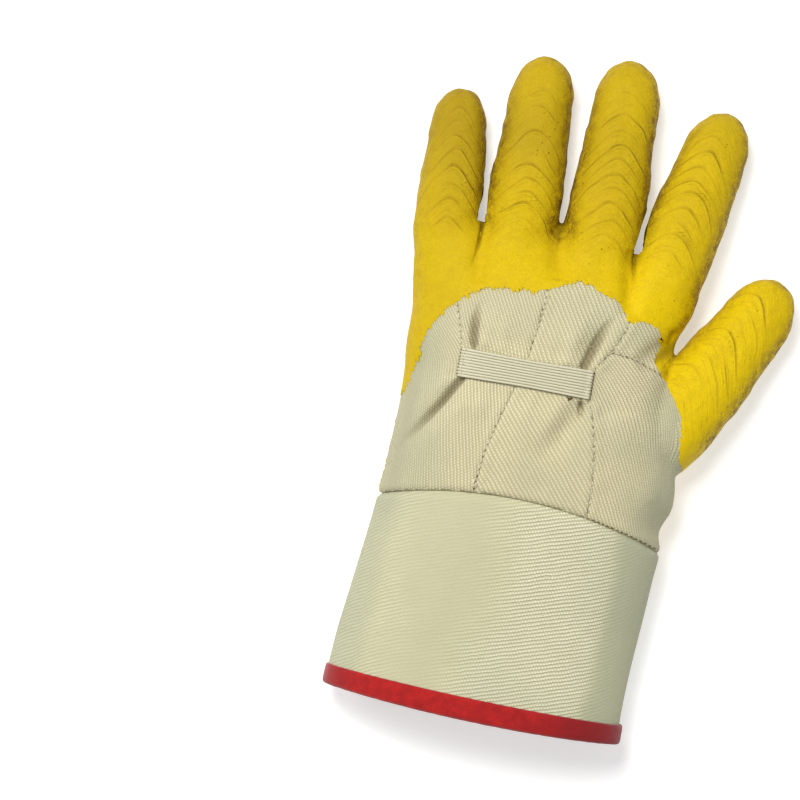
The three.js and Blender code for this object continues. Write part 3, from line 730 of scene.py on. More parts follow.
class Value:
    """An output of a material's node, which can be added to and multiplied."""

    def __init__(self, socket):
        self.socket = socket

    def maths(self, operation, *others):
        return node(self.socket.id_data, "Math", dict(enumerate((self, *others))), operation=operation)

    def ramp(self, low, high, to_low=0.0, to_high=1.0, soft=True):
        kind = "SMOOTHSTEP" if soft else "LINEAR"
        inputs = {"Value": self, 1: low, 2: high, 3: to_low, 4: to_high}
        return node(self.socket.id_data, "MapRange", inputs, interpolation_type=kind)

    def wave(self, length=1.0):
        return (self * (2 * math.pi / length)).maths("SINE")

    def scaled(self, by):
        return node(self.socket.id_data, "VectorMath", {0: self, 1: by}, operation="MULTIPLY")

    def __add__(self, other):
        return self.maths("ADD", other)

    def __sub__(self, other):
        return self.maths("SUBTRACT", other)

    def __mul__(self, other):
        return self.maths("MULTIPLY", other)

    def __abs__(self):
        return self.maths("ABSOLUTE")


def node(tree, kind, inputs=(), out=0, **props):
    made = tree.nodes.new("ShaderNode" + kind)
    for key, value in props.items():
        setattr(made, key, value)
    for key, value in dict(inputs).items():
        if isinstance(value, Value):
            tree.links.new(value.socket, made.inputs[key])
        else:
            made.inputs[key].default_value = value
    return Value(made.outputs[out])


def attribute(tree, name):
    """A piece's values at each point: as a vector, and its three parts."""
    vector = node(tree, "Attribute", out=1, attribute_name=name)
    return vector, [node(tree, "SeparateXYZ", {0: vector}, out=k) for k in range(3)]


def speckle(vector, scale, detail=2.0, rough=0.5):
    inputs = {"Vector": vector, "Scale": scale, "Detail": detail, "Roughness": rough}
    return node(vector.socket.id_data, "TexNoise", inputs)


def spots_at(vector, scale):
    return node(vector.socket.id_data, "TexVoronoi", {"Vector": vector, "Scale": scale, "Randomness": 1.0})


def colour(red, green, blue):
    """A colour as a screen shows it, from 0 to 255."""
    shares = [part / 255 for part in (red, green, blue)]
    return (*[((part + 0.055) / 1.055) ** 2.4 if part > 0.04 else part / 12.92 for part in shares], 1.0)


def painted(base, layers):
    """A colour with others laid over it, each by its own share."""
    for share, shade in layers:
        inputs = {0: share, 6: base, 7: colour(*shade)}
        base = node(share.socket.id_data, "Mix", inputs, out=2, data_type="RGBA", clamp_factor=True)
    return base


def material(name, roughness, **settings):
    """A new material, its shader, its nodes and the place of a point in it."""
    looks = bpy.data.materials.new(name)
    looks.use_nodes = True
    shader = looks.node_tree.nodes["Principled BSDF"]
    shader.inputs["Roughness"].default_value = roughness
    for label, value in settings.items():
        shader.inputs[label.replace("_", " ")].default_value = value
    return looks, shader, looks.node_tree, node(looks.node_tree, "TexCoord", out=3)


def dressed(looks, shader, base, height, strength, distance):
    """The material with its colour and bumps."""
    tree = looks.node_tree
    made = node(tree, "Bump", {"Height": height, "Strength": strength, "Distance": distance})
    tree.links.new(base.socket, shader.inputs["Base Color"])
    tree.links.new(made.socket, shader.inputs["Normal"])
    return looks


def latex_looks():
    looks, shader, tree, place = material("crinkled_latex", 0.6, Specular_IOR_Level=0.12)
    flow, _ = attribute(tree, "flow")
    _, (on_digit, _, _) = attribute(tree, "digit")
    _, (distance, strength, tone) = attribute(tree, "rings")
    _, (side_shade, crotch, steep) = attribute(tree, "shade")
    wide = speckle(place, 45.0, 3.0)
    patches = speckle(place, 260.0, 3.0, 0.6)
    grain = speckle(place, 1100.0, 3.0, 0.65)
    streaks = (speckle(flow.scaled((1.0, 0.16, 0.16)), 0.8, 4.0, 0.65) - 0.5) * on_digit + 0.5
    # The rings' colour is painted light: painted shade in each groove and softly around it, and a painted
    # highlight on the ridge on its root side
    groove = abs(distance - 0.2).ramp(0.0, 0.85, 1.0, 0.0) * strength * patches.ramp(0.3, 0.6, 0.35, 1.0)
    ridge = abs(distance + 0.9).ramp(0.0, 0.9, 1.0, 0.0) * strength
    above = abs(distance).ramp(0.0, 2.4, 1.0, 0.0) * strength
    holes = spots_at(place, 400.0).ramp(0.08, 0.15, 1.0, 0.0) * speckle(place, 55.0, 1.0).ramp(0.54, 0.66)
    # Painted shade on the digits' sides, broken into mottled patches
    mottled_side_shade = side_shade * (patches + grain).ramp(0.9, 1.12, 1.1, 0.12)
    base = painted(colour(162, 136, 20), [
        (tone.ramp(0.0, 1.25, soft=False), (224, 192, 0)),
        (wide.ramp(0.3, 0.75, 0.0, 0.25), (192, 161, 8)),
        (patches.ramp(0.25, 0.6, 0.16, 0.0), (156, 125, 12)),
        (grain.ramp(0.3, 0.7, 0.2, 0.0), (146, 115, 12)),
        (streaks.ramp(0.3, 0.5, 0.26, 0.0), (146, 114, 18)),
        (mottled_side_shade * 0.85, (110, 78, 20)),
        (steep * streaks.ramp(0.45, 0.6) * 0.5, (206, 174, 26)),
        (above * 0.16, (140, 106, 16)),
        (groove * 0.5, (128, 96, 20)),
        (ridge * 0.3, (214, 184, 30)),
        # crotch: painted shade, dark brown, in the webs and where fingers touch
        (crotch * 0.8, (64, 40, 14)),
        (holes * 0.7, (100, 70, 18)),
    ])
    height = grain * 0.4 + patches * 0.5 + streaks * 0.7 + ridge * 0.5 - groove * 0.7 - holes * 0.5
    return dressed(looks, shader, base, height, 0.75, 0.0008)


def twill_looks(name, light, dark, contrast):
    """Twill whose threads follow the piece's weave: ridges across it, and single stitches along them."""
    sheen = {"Sheen_Weight": 0.12, "Sheen_Roughness": 0.6}
    looks, shader, tree, place = material(name, 0.92, Specular_IOR_Level=0.15, **sheen)
    weave, (ridges, along, fade) = attribute(tree, "weave")
    _, (aside, run, sewn) = attribute(tree, "seam")
    _, (crease, side, specks) = attribute(tree, "shade")
    ridges = ridges + speckle(weave, 0.16, 3.0, 0.6) * 0.7
    bead = (along + ridges.maths("FLOOR") * 0.37).wave().ramp(-1.0, 0.2, 0.45, 1.0)
    thread = ridges.wave().ramp(-1.0, 0.5) * bead * fade
    fuzz = speckle(place, 1500.0, 3.0, 0.65)
    blotch = speckle(place, 30.0, 4.0, 0.6)
    slub = speckle(weave.scaled((2.2, 0.12, 1.0)), 1.0, 2.0)
    beat = abs(run.maths("DIVIDE", STITCH).maths("FRACT") - 0.5) * STITCH
    off = (aside * aside + beat * beat).maths("SQRT")
    holes = off.ramp(0.15, 0.45, 1.0, 0.0) * sewn
    spots = spots_at(place, 700.0).ramp(0.2, 0.32, 1.0, 0.0) * blotch.ramp(0.5, 0.55)
    base = painted(colour(*dark), [
        (thread * contrast + (1 - contrast), light),
        (blotch.ramp(0.3, 0.7, 0.12, 0.0), dark),
        (slub.ramp(0.35, 0.65, 0.14, 0.0), dark),
        (fuzz.ramp(0.3, 0.7, 0.2, 0.0), dark),
        # side: painted shade toward the sides, with random blotches; crease: painted shade in the creases
        (side * 0.6, (164, 167, 139)),
        (crease * 0.62, (104, 90, 54)),
        (holes, (88, 62, 40)),
        (spots * specks, (214, 178, 20)),
    ])
    return dressed(looks, shader, base, thread * 0.8 + fuzz * 0.4 - holes * 0.8, 0.8, 0.0006)


def tape_looks():
    sheen = {"Sheen_Weight": 0.25, "Sheen_Roughness": 0.5}
    looks, shader, tree, place = material("red_tape", 0.85, Specular_IOR_Level=0.2, **sheen)
    _, (across, along, painted_tape_shade) = attribute(tree, "weave")
    cloth = (along.wave(0.55) * across.wave(0.5)).ramp(-1.0, 1.0)
    mottle = speckle(place, 220.0, 4.0, 0.7)
    # The last layer is painted shade toward the tape's sides
    base = painted(colour(160, 22, 22), [
        (mottle.ramp(0.3, 0.75), (196, 32, 28)), (cloth * 0.25, (120, 14, 18)), (painted_tape_shade, (128, 14, 20)),
    ])
    return dressed(looks, shader, base, cloth * 0.5 + speckle(place, 1400.0, 3.0, 0.7), 0.5, 0.0003)


def elastic_looks():
    looks, shader, tree, place = material("corded_elastic", 0.8, Specular_IOR_Level=0.25, Sheen_Weight=0.1)
    _, (across, along, height) = attribute(tree, "weave")
    braid = (along + across * 0.6).wave(0.8)
    # Darker between the cords and at the ends: painted shade in the grooves
    base = painted(colour(124, 117, 88), [
        (height.ramp(0.15, 0.65), (206, 201, 174)), (braid.ramp(0.2, 1.0, 0.0, 0.12), (180, 174, 140)),
    ])
    return dressed(looks, shader, base, braid * 0.3 + speckle(place, 1300.0) * 0.3, 0.5, 0.0003)


def thread_looks(name, shade, other):
    looks, shader, _, place = material(name, 0.9, Specular_IOR_Level=0.2)
    fuzz = speckle(place, 700.0, 3.0, 0.6)
    base = painted(colour(*shade), [(fuzz.ramp(0.35, 0.65), other)])
    return dressed(looks, shader, base, fuzz, 0.4, 0.0002)


LATEX = latex_looks()
CANVAS = twill_looks("canvas_twill", (232, 223, 187), (176, 167, 124), 0.75)
CUFF_TWILL = twill_looks("cuff_twill", (240, 236, 204), (166, 163, 126), 0.75)
TAPE = tape_looks()
ELASTIC = elastic_looks()
THREAD = thread_looks("sewing_thread", (226, 220, 196), (176, 166, 132))
DARK_THREAD = thread_looks("dark_thread", (104, 74, 50), (66, 44, 30))

# The latex coat: its skin, and the lap over the cuff on the palm side
# steep is 1 on the sides of the digits. Soft hollows lie where fingers part, and narrow grooves where they
# touch;
# the colour darkens both with a dark brown painted shade (crotch)
steep = smoothstep(-np.abs(coat[:, NZ]), -0.75, -0.15)
lift, nearest, strength, flow, on_digit, apart = latex_lift(coat[:, :3], coat[:, COAT], steep)
edge_lip = -0.12 * np.exp(-(coat[:, COAT] / 1.0) ** 2)
crotch = np.exp(-(apart / 2.6) ** 2) * smoothstep(coat[:, Y], 102, 118) * smoothstep(-coat[:, Y], -165, -145)
wrist_hem = hem(coat[:, WRIST], 3.0, 1.6)
coat_points = coat[:, :3] + coat[:, 3:6] * (lift + edge_lip - 0.1 - wrist_hem)[:, None]
coat_points[:, 2] -= 2.5 * crotch * smoothstep(coat[:, NZ], 0.1, 0.6)
touch = np.zeros(len(coat))
for run in TOUCHING:
    off, far = beside(coat[:, :2], smooth_run(run, 2))
    fade = smoothstep(-far, -far.max(), -0.55 * far.max()) * smoothstep(coat[:, Z], 8, 13)
    fade = fade * smoothstep(-coat[:, Y], -SLIT_END - 4, -SLIT_END)
    touch = np.maximum(touch, np.exp(-(off / 0.7) ** 2) * fade)
coat_points[:, 2] -= 2.5 * touch
coat_points[:, 2] = np.maximum(coat_points[:, 2], 0.0)
depth = 0.35 + (COAT_WALL - 0.35) * smoothstep(coat[:, COAT], 1.3, 4.5)
depth = np.minimum(depth, 0.25 + 0.55 * np.maximum(coat[:, TONE], 0))
# The latex is paler at the knuckles and the thumb and duller at the fingertips. Painted shade darkens it in
# the cloth's creases, and a brown painted shade darkens the sides of the digits
tone = smoothstep(-coat_points[:, 1], -165, -92) * 0.6 + 0.4
tone = tone + 0.3 * smoothstep(coat_points[:, 0], -12, 40) - 0.3 * smoothstep(-coat_points[:, 0], 25, 55)
tone = np.clip(tone + 0.15 * noise(coat_points, 22, 60) - 0.3 * coat[:, CREASE_SHADE], 0, 1.25)
# The brown painted shade on the sides is strongest where they face right, away from the key light, or lie
# beside another finger
facing = np.clip(0.4 + 0.6 * coat[:, NX], 0.25, 1)
beside_finger = np.exp(-(apart / 9) ** 2) * smoothstep(coat_points[:, 1], 105, 125)
side_shade = smoothstep(-np.abs(coat[:, NZ]), -0.88, -0.3) * (0.4 + 0.6 * smoothstep(coat[:, NZ], -0.6, 0))
side_shade = side_shade * np.clip(facing + beside_finger, 0, 1)
side_shade = side_shade * np.maximum(smoothstep(coat_points[:, 1], 60, 110), on_digit)
# The painted shade of the webs reaches into the thumb's web and, darkest, along the lines where fingers touch
off, _ = beside(coat[:, :2], smooth_run([(39, 75), (45, 80.5), (50, 84.5), (54, 89)], 2))
ends = smoothstep(coat[:, X], 36, 42) * smoothstep(-coat[:, X], -57, -50)
crotch = np.maximum(crotch, 0.8 * np.exp(-(off / 2.4) ** 2) * ends * (np.abs(coat[:, Y] - 82) < 12))
crotch = np.maximum(0.8 * crotch, 0.9 * touch)
coat_values = {
    "flow": flow, "rings": columns(nearest, strength, tone), "shade": columns(side_shade, crotch, steep),
    "digit": columns(on_digit, 0.0, 0.0),
}
build_shell("latex_coat_skin", coat_points, coat_faces, depth, 4.0, LATEX, coat_values, "latex",
            ["latex_coat"], near=1, keep=coat[:, TONE] < 2.5)


def cuff_shape(along):
    """The cuff's section at a share of its length: its sizes, its gap to the hand over it, its floor."""
    little, thumb, height = smooth(CUFF_SECTIONS[:, 0], CUFF_SECTIONS[:, 1:], max(along, 0))
    own = np.array([little * CUFF_HALF, thumb * CUFF_HALF, height * CUFF_HEIGHT])
    down = max(0, -along * CUFF_LENGTH / PALM_LENGTH)
    little, thumb, height = smooth(PALM_SECTIONS[:, 0], PALM_SECTIONS[:, 1:], down)
    gap = COAT_WALL + 3 * CLEARANCE
    hidden = np.array([little * PALM_HALF - gap, thumb * PALM_HALF - gap, height * PALM_HEIGHT])
    share = smoothstep(along, -0.012, 0.035)
    return hidden * (1 - share) + own * share, gap * (1 - share), CUFF_FLOOR * share + gap * (1 - share)


def cuff_ring(distance, turn, offset=0.0, shrink_top=1.0):
    """A ring of the cuff at a distance from the wrist seam."""
    (little, thumb, height), gap, floor = cuff_shape(distance / CUFF_LENGTH)
    level = height * WIDEST_AT
    up = softened(np.sin(turn))
    reach = np.where(up > 0, height - level, level + SAG * height) - gap + offset
    x = (thumb - little) / 2 + ((little + thumb) / 2 + offset) * softened(np.cos(turn))
    z = np.maximum(level + reach * up, floor - offset)
    share = softened(np.cos(turn))
    along = distance / CUFF_LENGTH
    bow = seam_bow(share, np.sin(turn)) * (1 - along) - RIM_BOW * (1 - share ** 2) * along
    return np.stack([x, bow - distance, z], axis=1)


def sheet_of(rows):
    """Points and triangles of a skin through rings of points."""
    return np.concatenate(rows), np.concatenate(halves(tube(rows)))


def waves(points):
    """The cuff's own gentle waves."""
    return 0.5 * noise(points * [1, 0.5, 1], 34, 70) + 0.16 * noise(points, 12, 71)


AROUND = -np.linspace(0, 2 * np.pi, CUFF_SIDES, endpoint=False)
stops = np.concatenate([np.linspace(-CUFF_TUCK, 0, 5), np.linspace(1, CUFF_LENGTH, 90)])[::-1]
cuff, cuff_faces = sheet_of([cuff_ring(stop, AROUND) for stop in stops])
outward = normals(cuff, cuff_faces)
past = np.repeat(stops, len(AROUND))
sway = waves(cuff) * smoothstep(past, 2, 14) * smoothstep(-past, -CUFF_LENGTH, -CUFF_LENGTH + 8)
cuff = cuff + outward * sway[:, None]
cuff[:, 2] = np.maximum(cuff[:, 2], 0.4)


def weave_at(points, degrees, pitch, beads, fade=None, pivot=(0, 0)):
    """Twill coordinates: ridges crossed, beads along a ridge, and how strong the ridges show."""
    way = np.radians(degrees)
    x, y = points[:, 0] - pivot[0], points[:, 1] - pivot[1]
    ridges = (-x * np.sin(way) + y * np.cos(way)) / pitch
    along = (x * np.cos(way) + y * np.sin(way)) / beads
    return np.stack([ridges, along, np.ones(len(points)) if fade is None else fade], axis=1)


def unrolled(points, centre_x):
    """Points whose x runs round the section, so a weave isn't squeezed at the sides."""
    flat = points.copy()
    x = points[:, 0] - centre_x
    share = np.clip((np.abs(x) - 30) / 25, 0, 1)
    side = np.where(points[:, 2] > 17, 34 - points[:, 2], points[:, 2] + 2)
    flat[:, 0] += np.sign(x) * (10 * share ** 3 + 0.8 * np.clip(side, 0, None) * smoothstep(share, 0.7, 1))
    return flat


flat = unrolled(cuff, 0)
# Its ridges are worn off in patches, and show less on its thumb side
fade = 0.12 + 0.88 * smoothstep(cuff[:, 0] + 9 * noise(cuff, 18, 72) - 0.15 * cuff[:, 1], -14, 10)
fade = np.maximum(fade, smoothstep(-cuff[:, 0] + 8 * noise(cuff, 12, 75), 22, 58) * 0.5)
right_side = smoothstep(cuff[:, 0] + 2 * noise(cuff, 14, 73), 39, 47)
fade = np.where(cuff[:, 2] < 14, 1.0, fade * (1 - 0.8 * right_side))
# Painted shade: grey-green toward both sides, where the cuff turns down, most on the thumb side, with random
# patches over all of it
side = np.maximum(right_side, 0.7 * smoothstep(-cuff[:, 0], 46, 58)) * smoothstep(cuff[:, 2], 4, 14)
side = side + 0.35 * smoothstep(noise(cuff, 26, 74), -0.2, 0.7)
cuff_values = {
    "weave": weave_at(flat, 19, 1.5, 1.2, fade), "seam": columns(FAR_OFF, 0.0, 0 * side),
    "shade": columns(0.0, side, 0.0),
}
build_shell("cuff_cloth", cuff, cuff_faces, CUFF_WALL, 3.0, CUFF_TWILL, cuff_values, "cuff_canvas",
            ["safety_cuff"], near=1)

# The lap of latex over the seam on the palm side
lap_stops = np.linspace(-3.2, LAP_LENGTH + 2.5, 60)[::-1]
lap, lap_faces = sheet_of([cuff_ring(stop, AROUND, CLEARANCE + LAP_WALL) for stop in lap_stops])
past = np.repeat(lap_stops, len(AROUND))
edge = LAP_LENGTH - 1.5 + 2.2 * noise(lap * [1, 0, 0], 21, 80) + 1.1 * noise(lap * [1, 0, 0], 6, 81)
threads = (lap[:, 0] * 0.94 + past * 0.34) / 1.7
edge = edge + 0.9 * lattice(np.stack([np.floor(threads), 0 * threads, 0 * threads], 1).astype(np.int64), 82)
inside = np.minimum(edge - past, 8.5 - lap[:, 2] + 1.2 * noise(lap, 6, 83))
lap_table = np.column_stack([lap, inside, past])
lap_table, lap_faces = clip(lap_table, lap_faces, 3)
lap, inside, past = lap_table[:, :3], lap_table[:, 3], lap_table[:, 4]
lap_out = normals(lap, lap_faces)
rise = (0.35 * noise(lap, 9, 84) + 0.2 * noise(lap, 3.5, 85)) * smoothstep(inside, 0.5, 5) - 0.15
lap = lap + lap_out * (rise + 0.9 * smoothstep(-past, -3.5, 0))[:, None]
lap[:, 2] = np.maximum(lap[:, 2], 0.0)
lap_points, lap_faces, _ = shell(lap, lap_faces, 0.3 + 0.5 * smoothstep(inside, 0.5, 3), 3.2)
none = 0 * lap_points
lap_flow, lap_tone = lap_points[:, [1, 0, 2]], none + [FAR_OFF, 0.0, 0.75]
lap_values = {"flow": lap_flow, "rings": lap_tone, "shade": none, "digit": none}
build("latex_lap", lap_points, lap_faces, LATEX, lap_values, "latex")

# The canvas panels, cut from one cloth along their seams
# Each panel's seams, with the side of each that it keeps, and its twill's pitch
PANELS = {
    "little_panel": ([(MIDDLE, 1)], 1.35), "middle_panel": ([(MIDDLE, -1), (THUMB, 1)], 1.65),
    "index_panel": ([(THUMB, -1), (INDEX, 1)], 1.5), "thumb_panel": ([(THUMB, -1), (INDEX, -1)], 1.4),
}
# More columns: a point of the lifted skin, its place beside and along the left seam, then along the others
SKIN, LEFT_ASIDE, LEFT_ALONG, RUNS = slice(13, 16), 16, 17, 18
seam_gaps = np.minimum(np.abs(cloth[:, MIDDLE]), np.abs(cloth[:, THUMB]))
right = cloth[:, THUMB] < 0.5
seam_gaps = np.where(right, np.minimum(seam_gaps, np.abs(cloth[:, INDEX])), seam_gaps)
pucker = 0.35 * np.exp(-(seam_gaps / 4) ** 2) * noise(cloth[:, :3], 3.6, 90)
valley = -0.4 * np.exp(-(seam_gaps / 0.8) ** 2) + 0.25 * np.exp(-((seam_gaps - 2.0) / 1.3) ** 2)
crumple = 0.22 * noise(cloth[:, :3], 13, 91) + 0.1 * noise(cloth[:, :3], 5, 92)
cloth_lift = pucker + valley + crumple - CANVAS_DROP - hem(cloth[:, WRIST] - 0.2, 2.4, 1.3)
cloth_skin = cloth[:, :3] + cloth[:, 3:6] * cloth_lift[:, None]
seam_runs = [beside(cloth[:, :2], line(seam))[1] for seam in (MIDDLE_SEAM, THUMB_SEAM, INDEX_SEAM)]
marked = np.column_stack([cloth, cloth_skin, *beside(cloth[:, :2], line(LEFT_SEAM)), *seam_runs])
panel_shapes = []
for name, (sides, pitch) in PANELS.items():
    part, part_faces = marked.copy(), cloth_faces
    for column, sign in sides:
        part[:, TONE] = part[:, column] * sign - SEAM_GAP
        part, part_faces = clip(part, part_faces, TONE)
    skin = part[:, SKIN]
    x, y = skin[:, 0], skin[:, 1]
    aside, run, sewn = columns(FAR_OFF, 0.0, 0 * x).T
    seams = ((MIDDLE, 0.25 + 0.45 * smoothstep(-y, -42, -12)), (THUMB, 0.14), (INDEX, 0.6))
    for number, (column, strong) in enumerate(seams):
        if column in [side[0] for side in sides]:
            closer = np.abs(part[:, column]) < np.abs(aside)
            aside = np.where(closer, part[:, column], aside)
            run = np.where(closer, part[:, RUNS + number], run)
            sewn = np.where(closer, strong, sewn)
    high = smoothstep(y, 52, 74)
    if name == "little_panel":
        closer = (np.abs(part[:, LEFT_ASIDE]) < np.abs(aside)) & (part[:, LEFT_ALONG] > 1)
        aside = np.where(closer, part[:, LEFT_ASIDE], aside)
        run, sewn = np.where(closer, part[:, LEFT_ALONG], run), np.where(closer, 0.75, sewn)
        strip = smoothstep(part[:, LEFT_ASIDE], -0.2, 0.2) * smoothstep(y, 50, 66)
        turn, pivot = 104 + 15 * high + 21 * strip, (-40, 62)
    elif name == "middle_panel":
        turn, pivot = 131 - 8 * high, (0, 60)
    elif name == "thumb_panel":
        turn, pivot = 121 + 16 * smoothstep(y + 0.4 * x, 55, 88), (44, 70)
    else:
        turn, pivot = 130, (40, 84)
    under = (np.abs(y - ELASTIC_Y) < 8) & (np.abs(x - ELASTIC_X) < 29)
    sewn = np.where(under, 0.0, sewn)
    # Painted shade: the cloth goes grey-green toward its left and right edges and its top, mixed with random
    # blotches
    edges = np.maximum(0.9 * smoothstep(x + 3 * noise(skin, 15, 93), 36, 58), 0.8 * smoothstep(-x, 28, 58))
    edges = np.maximum(edges, 0.4 * smoothstep(y, 62, 88))
    blotches = 0.3 * smoothstep(noise(skin, 20, 94), 0.0, 0.8)
    values = {
        "weave": weave_at(unrolled(skin, 0), turn, pitch, 1.15, pivot=pivot),
        "seam": columns(aside, run, sewn),
        "shade": columns(part[:, CREASE_SHADE], edges + blotches, smoothstep(-part[:, COAT], -3.5, -1.5)),
    }
    build_shell(name + "_cloth", skin, part_faces, CANVAS_WALL, 2.6, CANVAS, values, "canvas", [name])
    panel_shapes.append((skin, part_faces))


def joined(parts):
    """Several skins as one."""
    starts = np.cumsum([0] + [len(points) for points, _ in parts])
    return (np.concatenate([points for points, _ in parts]),
            np.concatenate([faces + start for (_, faces), start in zip(parts, starts)]))


SURFACE = [part.tolist() for part in joined(panel_shapes + [(cuff, cuff_faces)])]
GROUND = BVHTree.FromPolygons(*SURFACE)


def drop(x, y, height=0.0):
    """The point over a place on the back of the glove."""
    hit = GROUND.ray_cast(Vector((float(x), float(y), 120.0)), Vector((0.0, 0.0, -1.0)))[0]
    return np.array([x, y, (hit.z if hit else PALM_HEIGHT * 0.9) + height])


def closed(rows, loop=False):
    """A closed solid through rings of points. A loop's last ring joins its first."""
    rows = [np.asarray(row, float) for row in rows]
    sides = len(rows[0])
    points = np.concatenate(rows)
    quads = tube(rows + rows[:1]) % len(points) if loop else tube(rows)
    faces = halves(quads)
    if not loop:
        for first, order in ((0, -1), (len(points) - sides, 1)):
            ring = first + np.arange(sides)[::order]
            faces.append(np.stack([np.full(sides, len(points)), ring, np.roll(ring, -1)], axis=1))
            points = np.vstack([points, points[ring].mean(axis=0)])
    faces = np.concatenate(faces)
    a, b, c = (points[faces[:, k]] for k in range(3))
    if (a * np.cross(b, c)).sum() < 0:
        faces = faces[:, ::-1]
    return points, faces


def thread(path, radius=0.27, sides=7, arch=0.0):
    """A short thread along points, thin at both ends."""
    path = np.array(path, float)
    length = distances(path)
    t = np.linspace(0, 1, 7)
    run = smooth(length, path, t * length[-1])
    run[:, 2] += arch * np.sin(np.pi * t)
    way = np.gradient(run, axis=0)
    way /= np.linalg.norm(way, axis=1, keepdims=True)
    aside = np.cross(way, [0.02, 0.01, 1.0])
    aside /= np.linalg.norm(aside, axis=1, keepdims=True)
    up = np.cross(aside, way)
    turn = np.linspace(0, 2 * np.pi, sides, endpoint=False)
    thick = radius * np.sqrt(np.clip(1 - (2 * t - 1) ** 4, 0.12, 1))
    across, high = np.cos(turn)[:, None], np.sin(turn)[:, None]
    return closed([run[i] + thick[i] * (across * aside[i] + high * up[i]) for i in range(len(run))])


# The elastic, a row of cords that lies over the gathered canvas
def back_height(x, y):
    """How high the unfolded canvas of the back lies at a place."""
    share, height = palm_frame(columns(x, y))
    level = height * WIDEST_AT
    return level + (height - level - CANVAS_DROP) * (1 - np.abs(share) ** ROUNDNESS) ** (1 / ROUNDNESS)


def elastic_place(u, side):
    """Where a point along and across the elastic lies on the glove."""
    x = ELASTIC_X + u * math.cos(ELASTIC_LEAN) - side * math.sin(ELASTIC_LEAN)
    return x, ELASTIC_Y + u * math.sin(ELASTIC_LEAN) + side * math.cos(ELASTIC_LEAN)


elastic_rows, elastic_looks_at = [], []
per_cord = 9
v = np.linspace(-0.5, 0.5, ELASTIC_CORDS * per_cord + 1) * ELASTIC_WIDTH
phase = ((v / ELASTIC_WIDTH + 0.5) * ELASTIC_CORDS) % 1
cord = np.sqrt(np.clip(1 - (2 * phase - 1) ** 2, 0, 1))
cord[[0, -1]] = 0
for u in np.linspace(-0.5, 0.5, 150) * ELASTIC_LENGTH:
    end = smoothstep(ELASTIC_LENGTH / 2 - abs(u), 0, 0.8)
    stitched = 1 - 0.3 * math.exp(-((ELASTIC_LENGTH / 2 - abs(u) - 2.4) / 1.6) ** 2)
    wave = 0.1 * noise(columns(v * 0.5, u, 0.0), 4.0, 100)
    top = (ELASTIC_THICKNESS * (0.55 + 0.45 * cord) * stitched + wave) * end + 0.5 * (1 - end)
    narrow = 1 - 0.06 * math.cos(math.pi * u / ELASTIC_LENGTH) ** 2
    side = np.concatenate([v, v[::-10]]) * narrow
    x, y = elastic_place(u, side)
    high = np.concatenate([top, np.zeros(len(v[::-10]))])
    elastic_rows.append(columns(x, y, back_height(x, y) + CLEARANCE + high))
    # shade: the cords' height, which the material turns into painted shade in the grooves
    shade = np.concatenate([cord * (0.4 + 0.6 * end), np.zeros(len(v[::-10]))])
    elastic_looks_at.append(columns(side, u, shade))
elastic, elastic_faces = closed(elastic_rows)
values = np.concatenate(elastic_looks_at + [elastic_looks_at[0][:1], elastic_looks_at[-1][:1]])
build("elastic_cords", elastic, elastic_faces, ELASTIC, {"weave": values}, "elastic", ["elastic_band"])


def on_elastic(u, side, height=0.0):
    """A point on top of the elastic."""
    x, y = elastic_place(u, side)
    z = float(back_height(np.array([x]), np.array([y]))[0]) + CLEARANCE + ELASTIC_THICKNESS * 0.72
    return np.array([x, y, z + height])


# Stitches: runs along the seams, zigzags at the elastic's ends, and the dark row on the wrist seam
light, dark = [], []
low, high = ELASTIC_Y - ELASTIC_WIDTH / 2, ELASTIC_Y + ELASTIC_WIDTH / 2
for seam in (MIDDLE_SEAM, THUMB_SEAM, INDEX_SEAM, LEFT_SEAM):
    run = line(seam)
    length = distances(run)
    for k in range(1, int(length[-1] / STITCH)):
        spots = [smooth(length, run, (k + share) * STITCH) for share in (-0.34, 0, 0.34)]
        x, y = spots[1]
        at = np.array([[x, y, 40.0]])
        on_cuff = y < seam_bow(palm_frame(at)[0], 1)[0] + 2.5
        under_elastic = low - 1 < y < high + 1 and abs(x + 10) < 30
        if on_cuff or under_elastic or coat_field(at)[0] > -1.0:
            continue
        light.append(thread([drop(px, py, 0.12) for px, py in spots], 0.24, arch=0.12))
for side in (-1, 1):
    for k in range(8):
        u, across = side * (ELASTIC_LENGTH / 2 - 1.2 - 0.5 * (k % 2)), (k - 3.5) * 1.45
        a, b = on_elastic(u - 0.5, across - 0.45), on_elastic(u + 0.5, across + 0.45)
        light.append(thread([a, (a + b) / 2 + [0, 0, 0.2], b], 0.2))
        spot = on_elastic(side * (ELASTIC_LENGTH / 2 + 0.1), across, -0.5)
        dark.append(thread([spot - [0.3, 0.1, 0], spot + [0, 0, 0.1], spot + [0.3, 0.1, 0]], 0.2))
for x in np.arange(27.5, 59.0, 2.1):
    spots = []
    for px in (x - 0.62, x, x + 0.62):
        share = palm_frame(np.array([[px, 4.0, 40.0]]))[0]
        spots.append(drop(px, float(seam_bow(share, 1)[0]) + 0.35, 0.05))
    dark.append(thread(spots, 0.2, arch=0.1))
# Loose thread ends on the middle seam and beside the elastic: where, which threads, how thick, their points
ENDS = [
    ((-20.6, 10.5), light, 0.42, [(0, -0.6, 0.5), (-0.5, 0.6, 1.1), (-0.9, 2.0, 0.9), (-0.6, 3.4, 0.5)]),
    ((-20.6, 10.5), light, 0.4, [(0.3, -0.4, 0.5), (0.5, 0.8, 1.0), (0.1, 1.9, 0.6)]),
    ((9.7, 54.0), dark, 0.32, [(-1.1, 0.2, 0.4), (0, -0.5, 1.0), (1.1, 0.1, 0.5)]),
    ((9.7, 54.0), dark, 0.22, [(0.2, -0.2, 0.8), (-0.4, -1.4, 0.6)]),
]
for place, threads, thick, path in ENDS:
    threads.append(thread(drop(*place) + path, thick))
build("seam_stitches", *joined(light), THREAD, slot="canvas")
build("dark_stitches", *joined(dark), DARK_THREAD, slot="canvas")

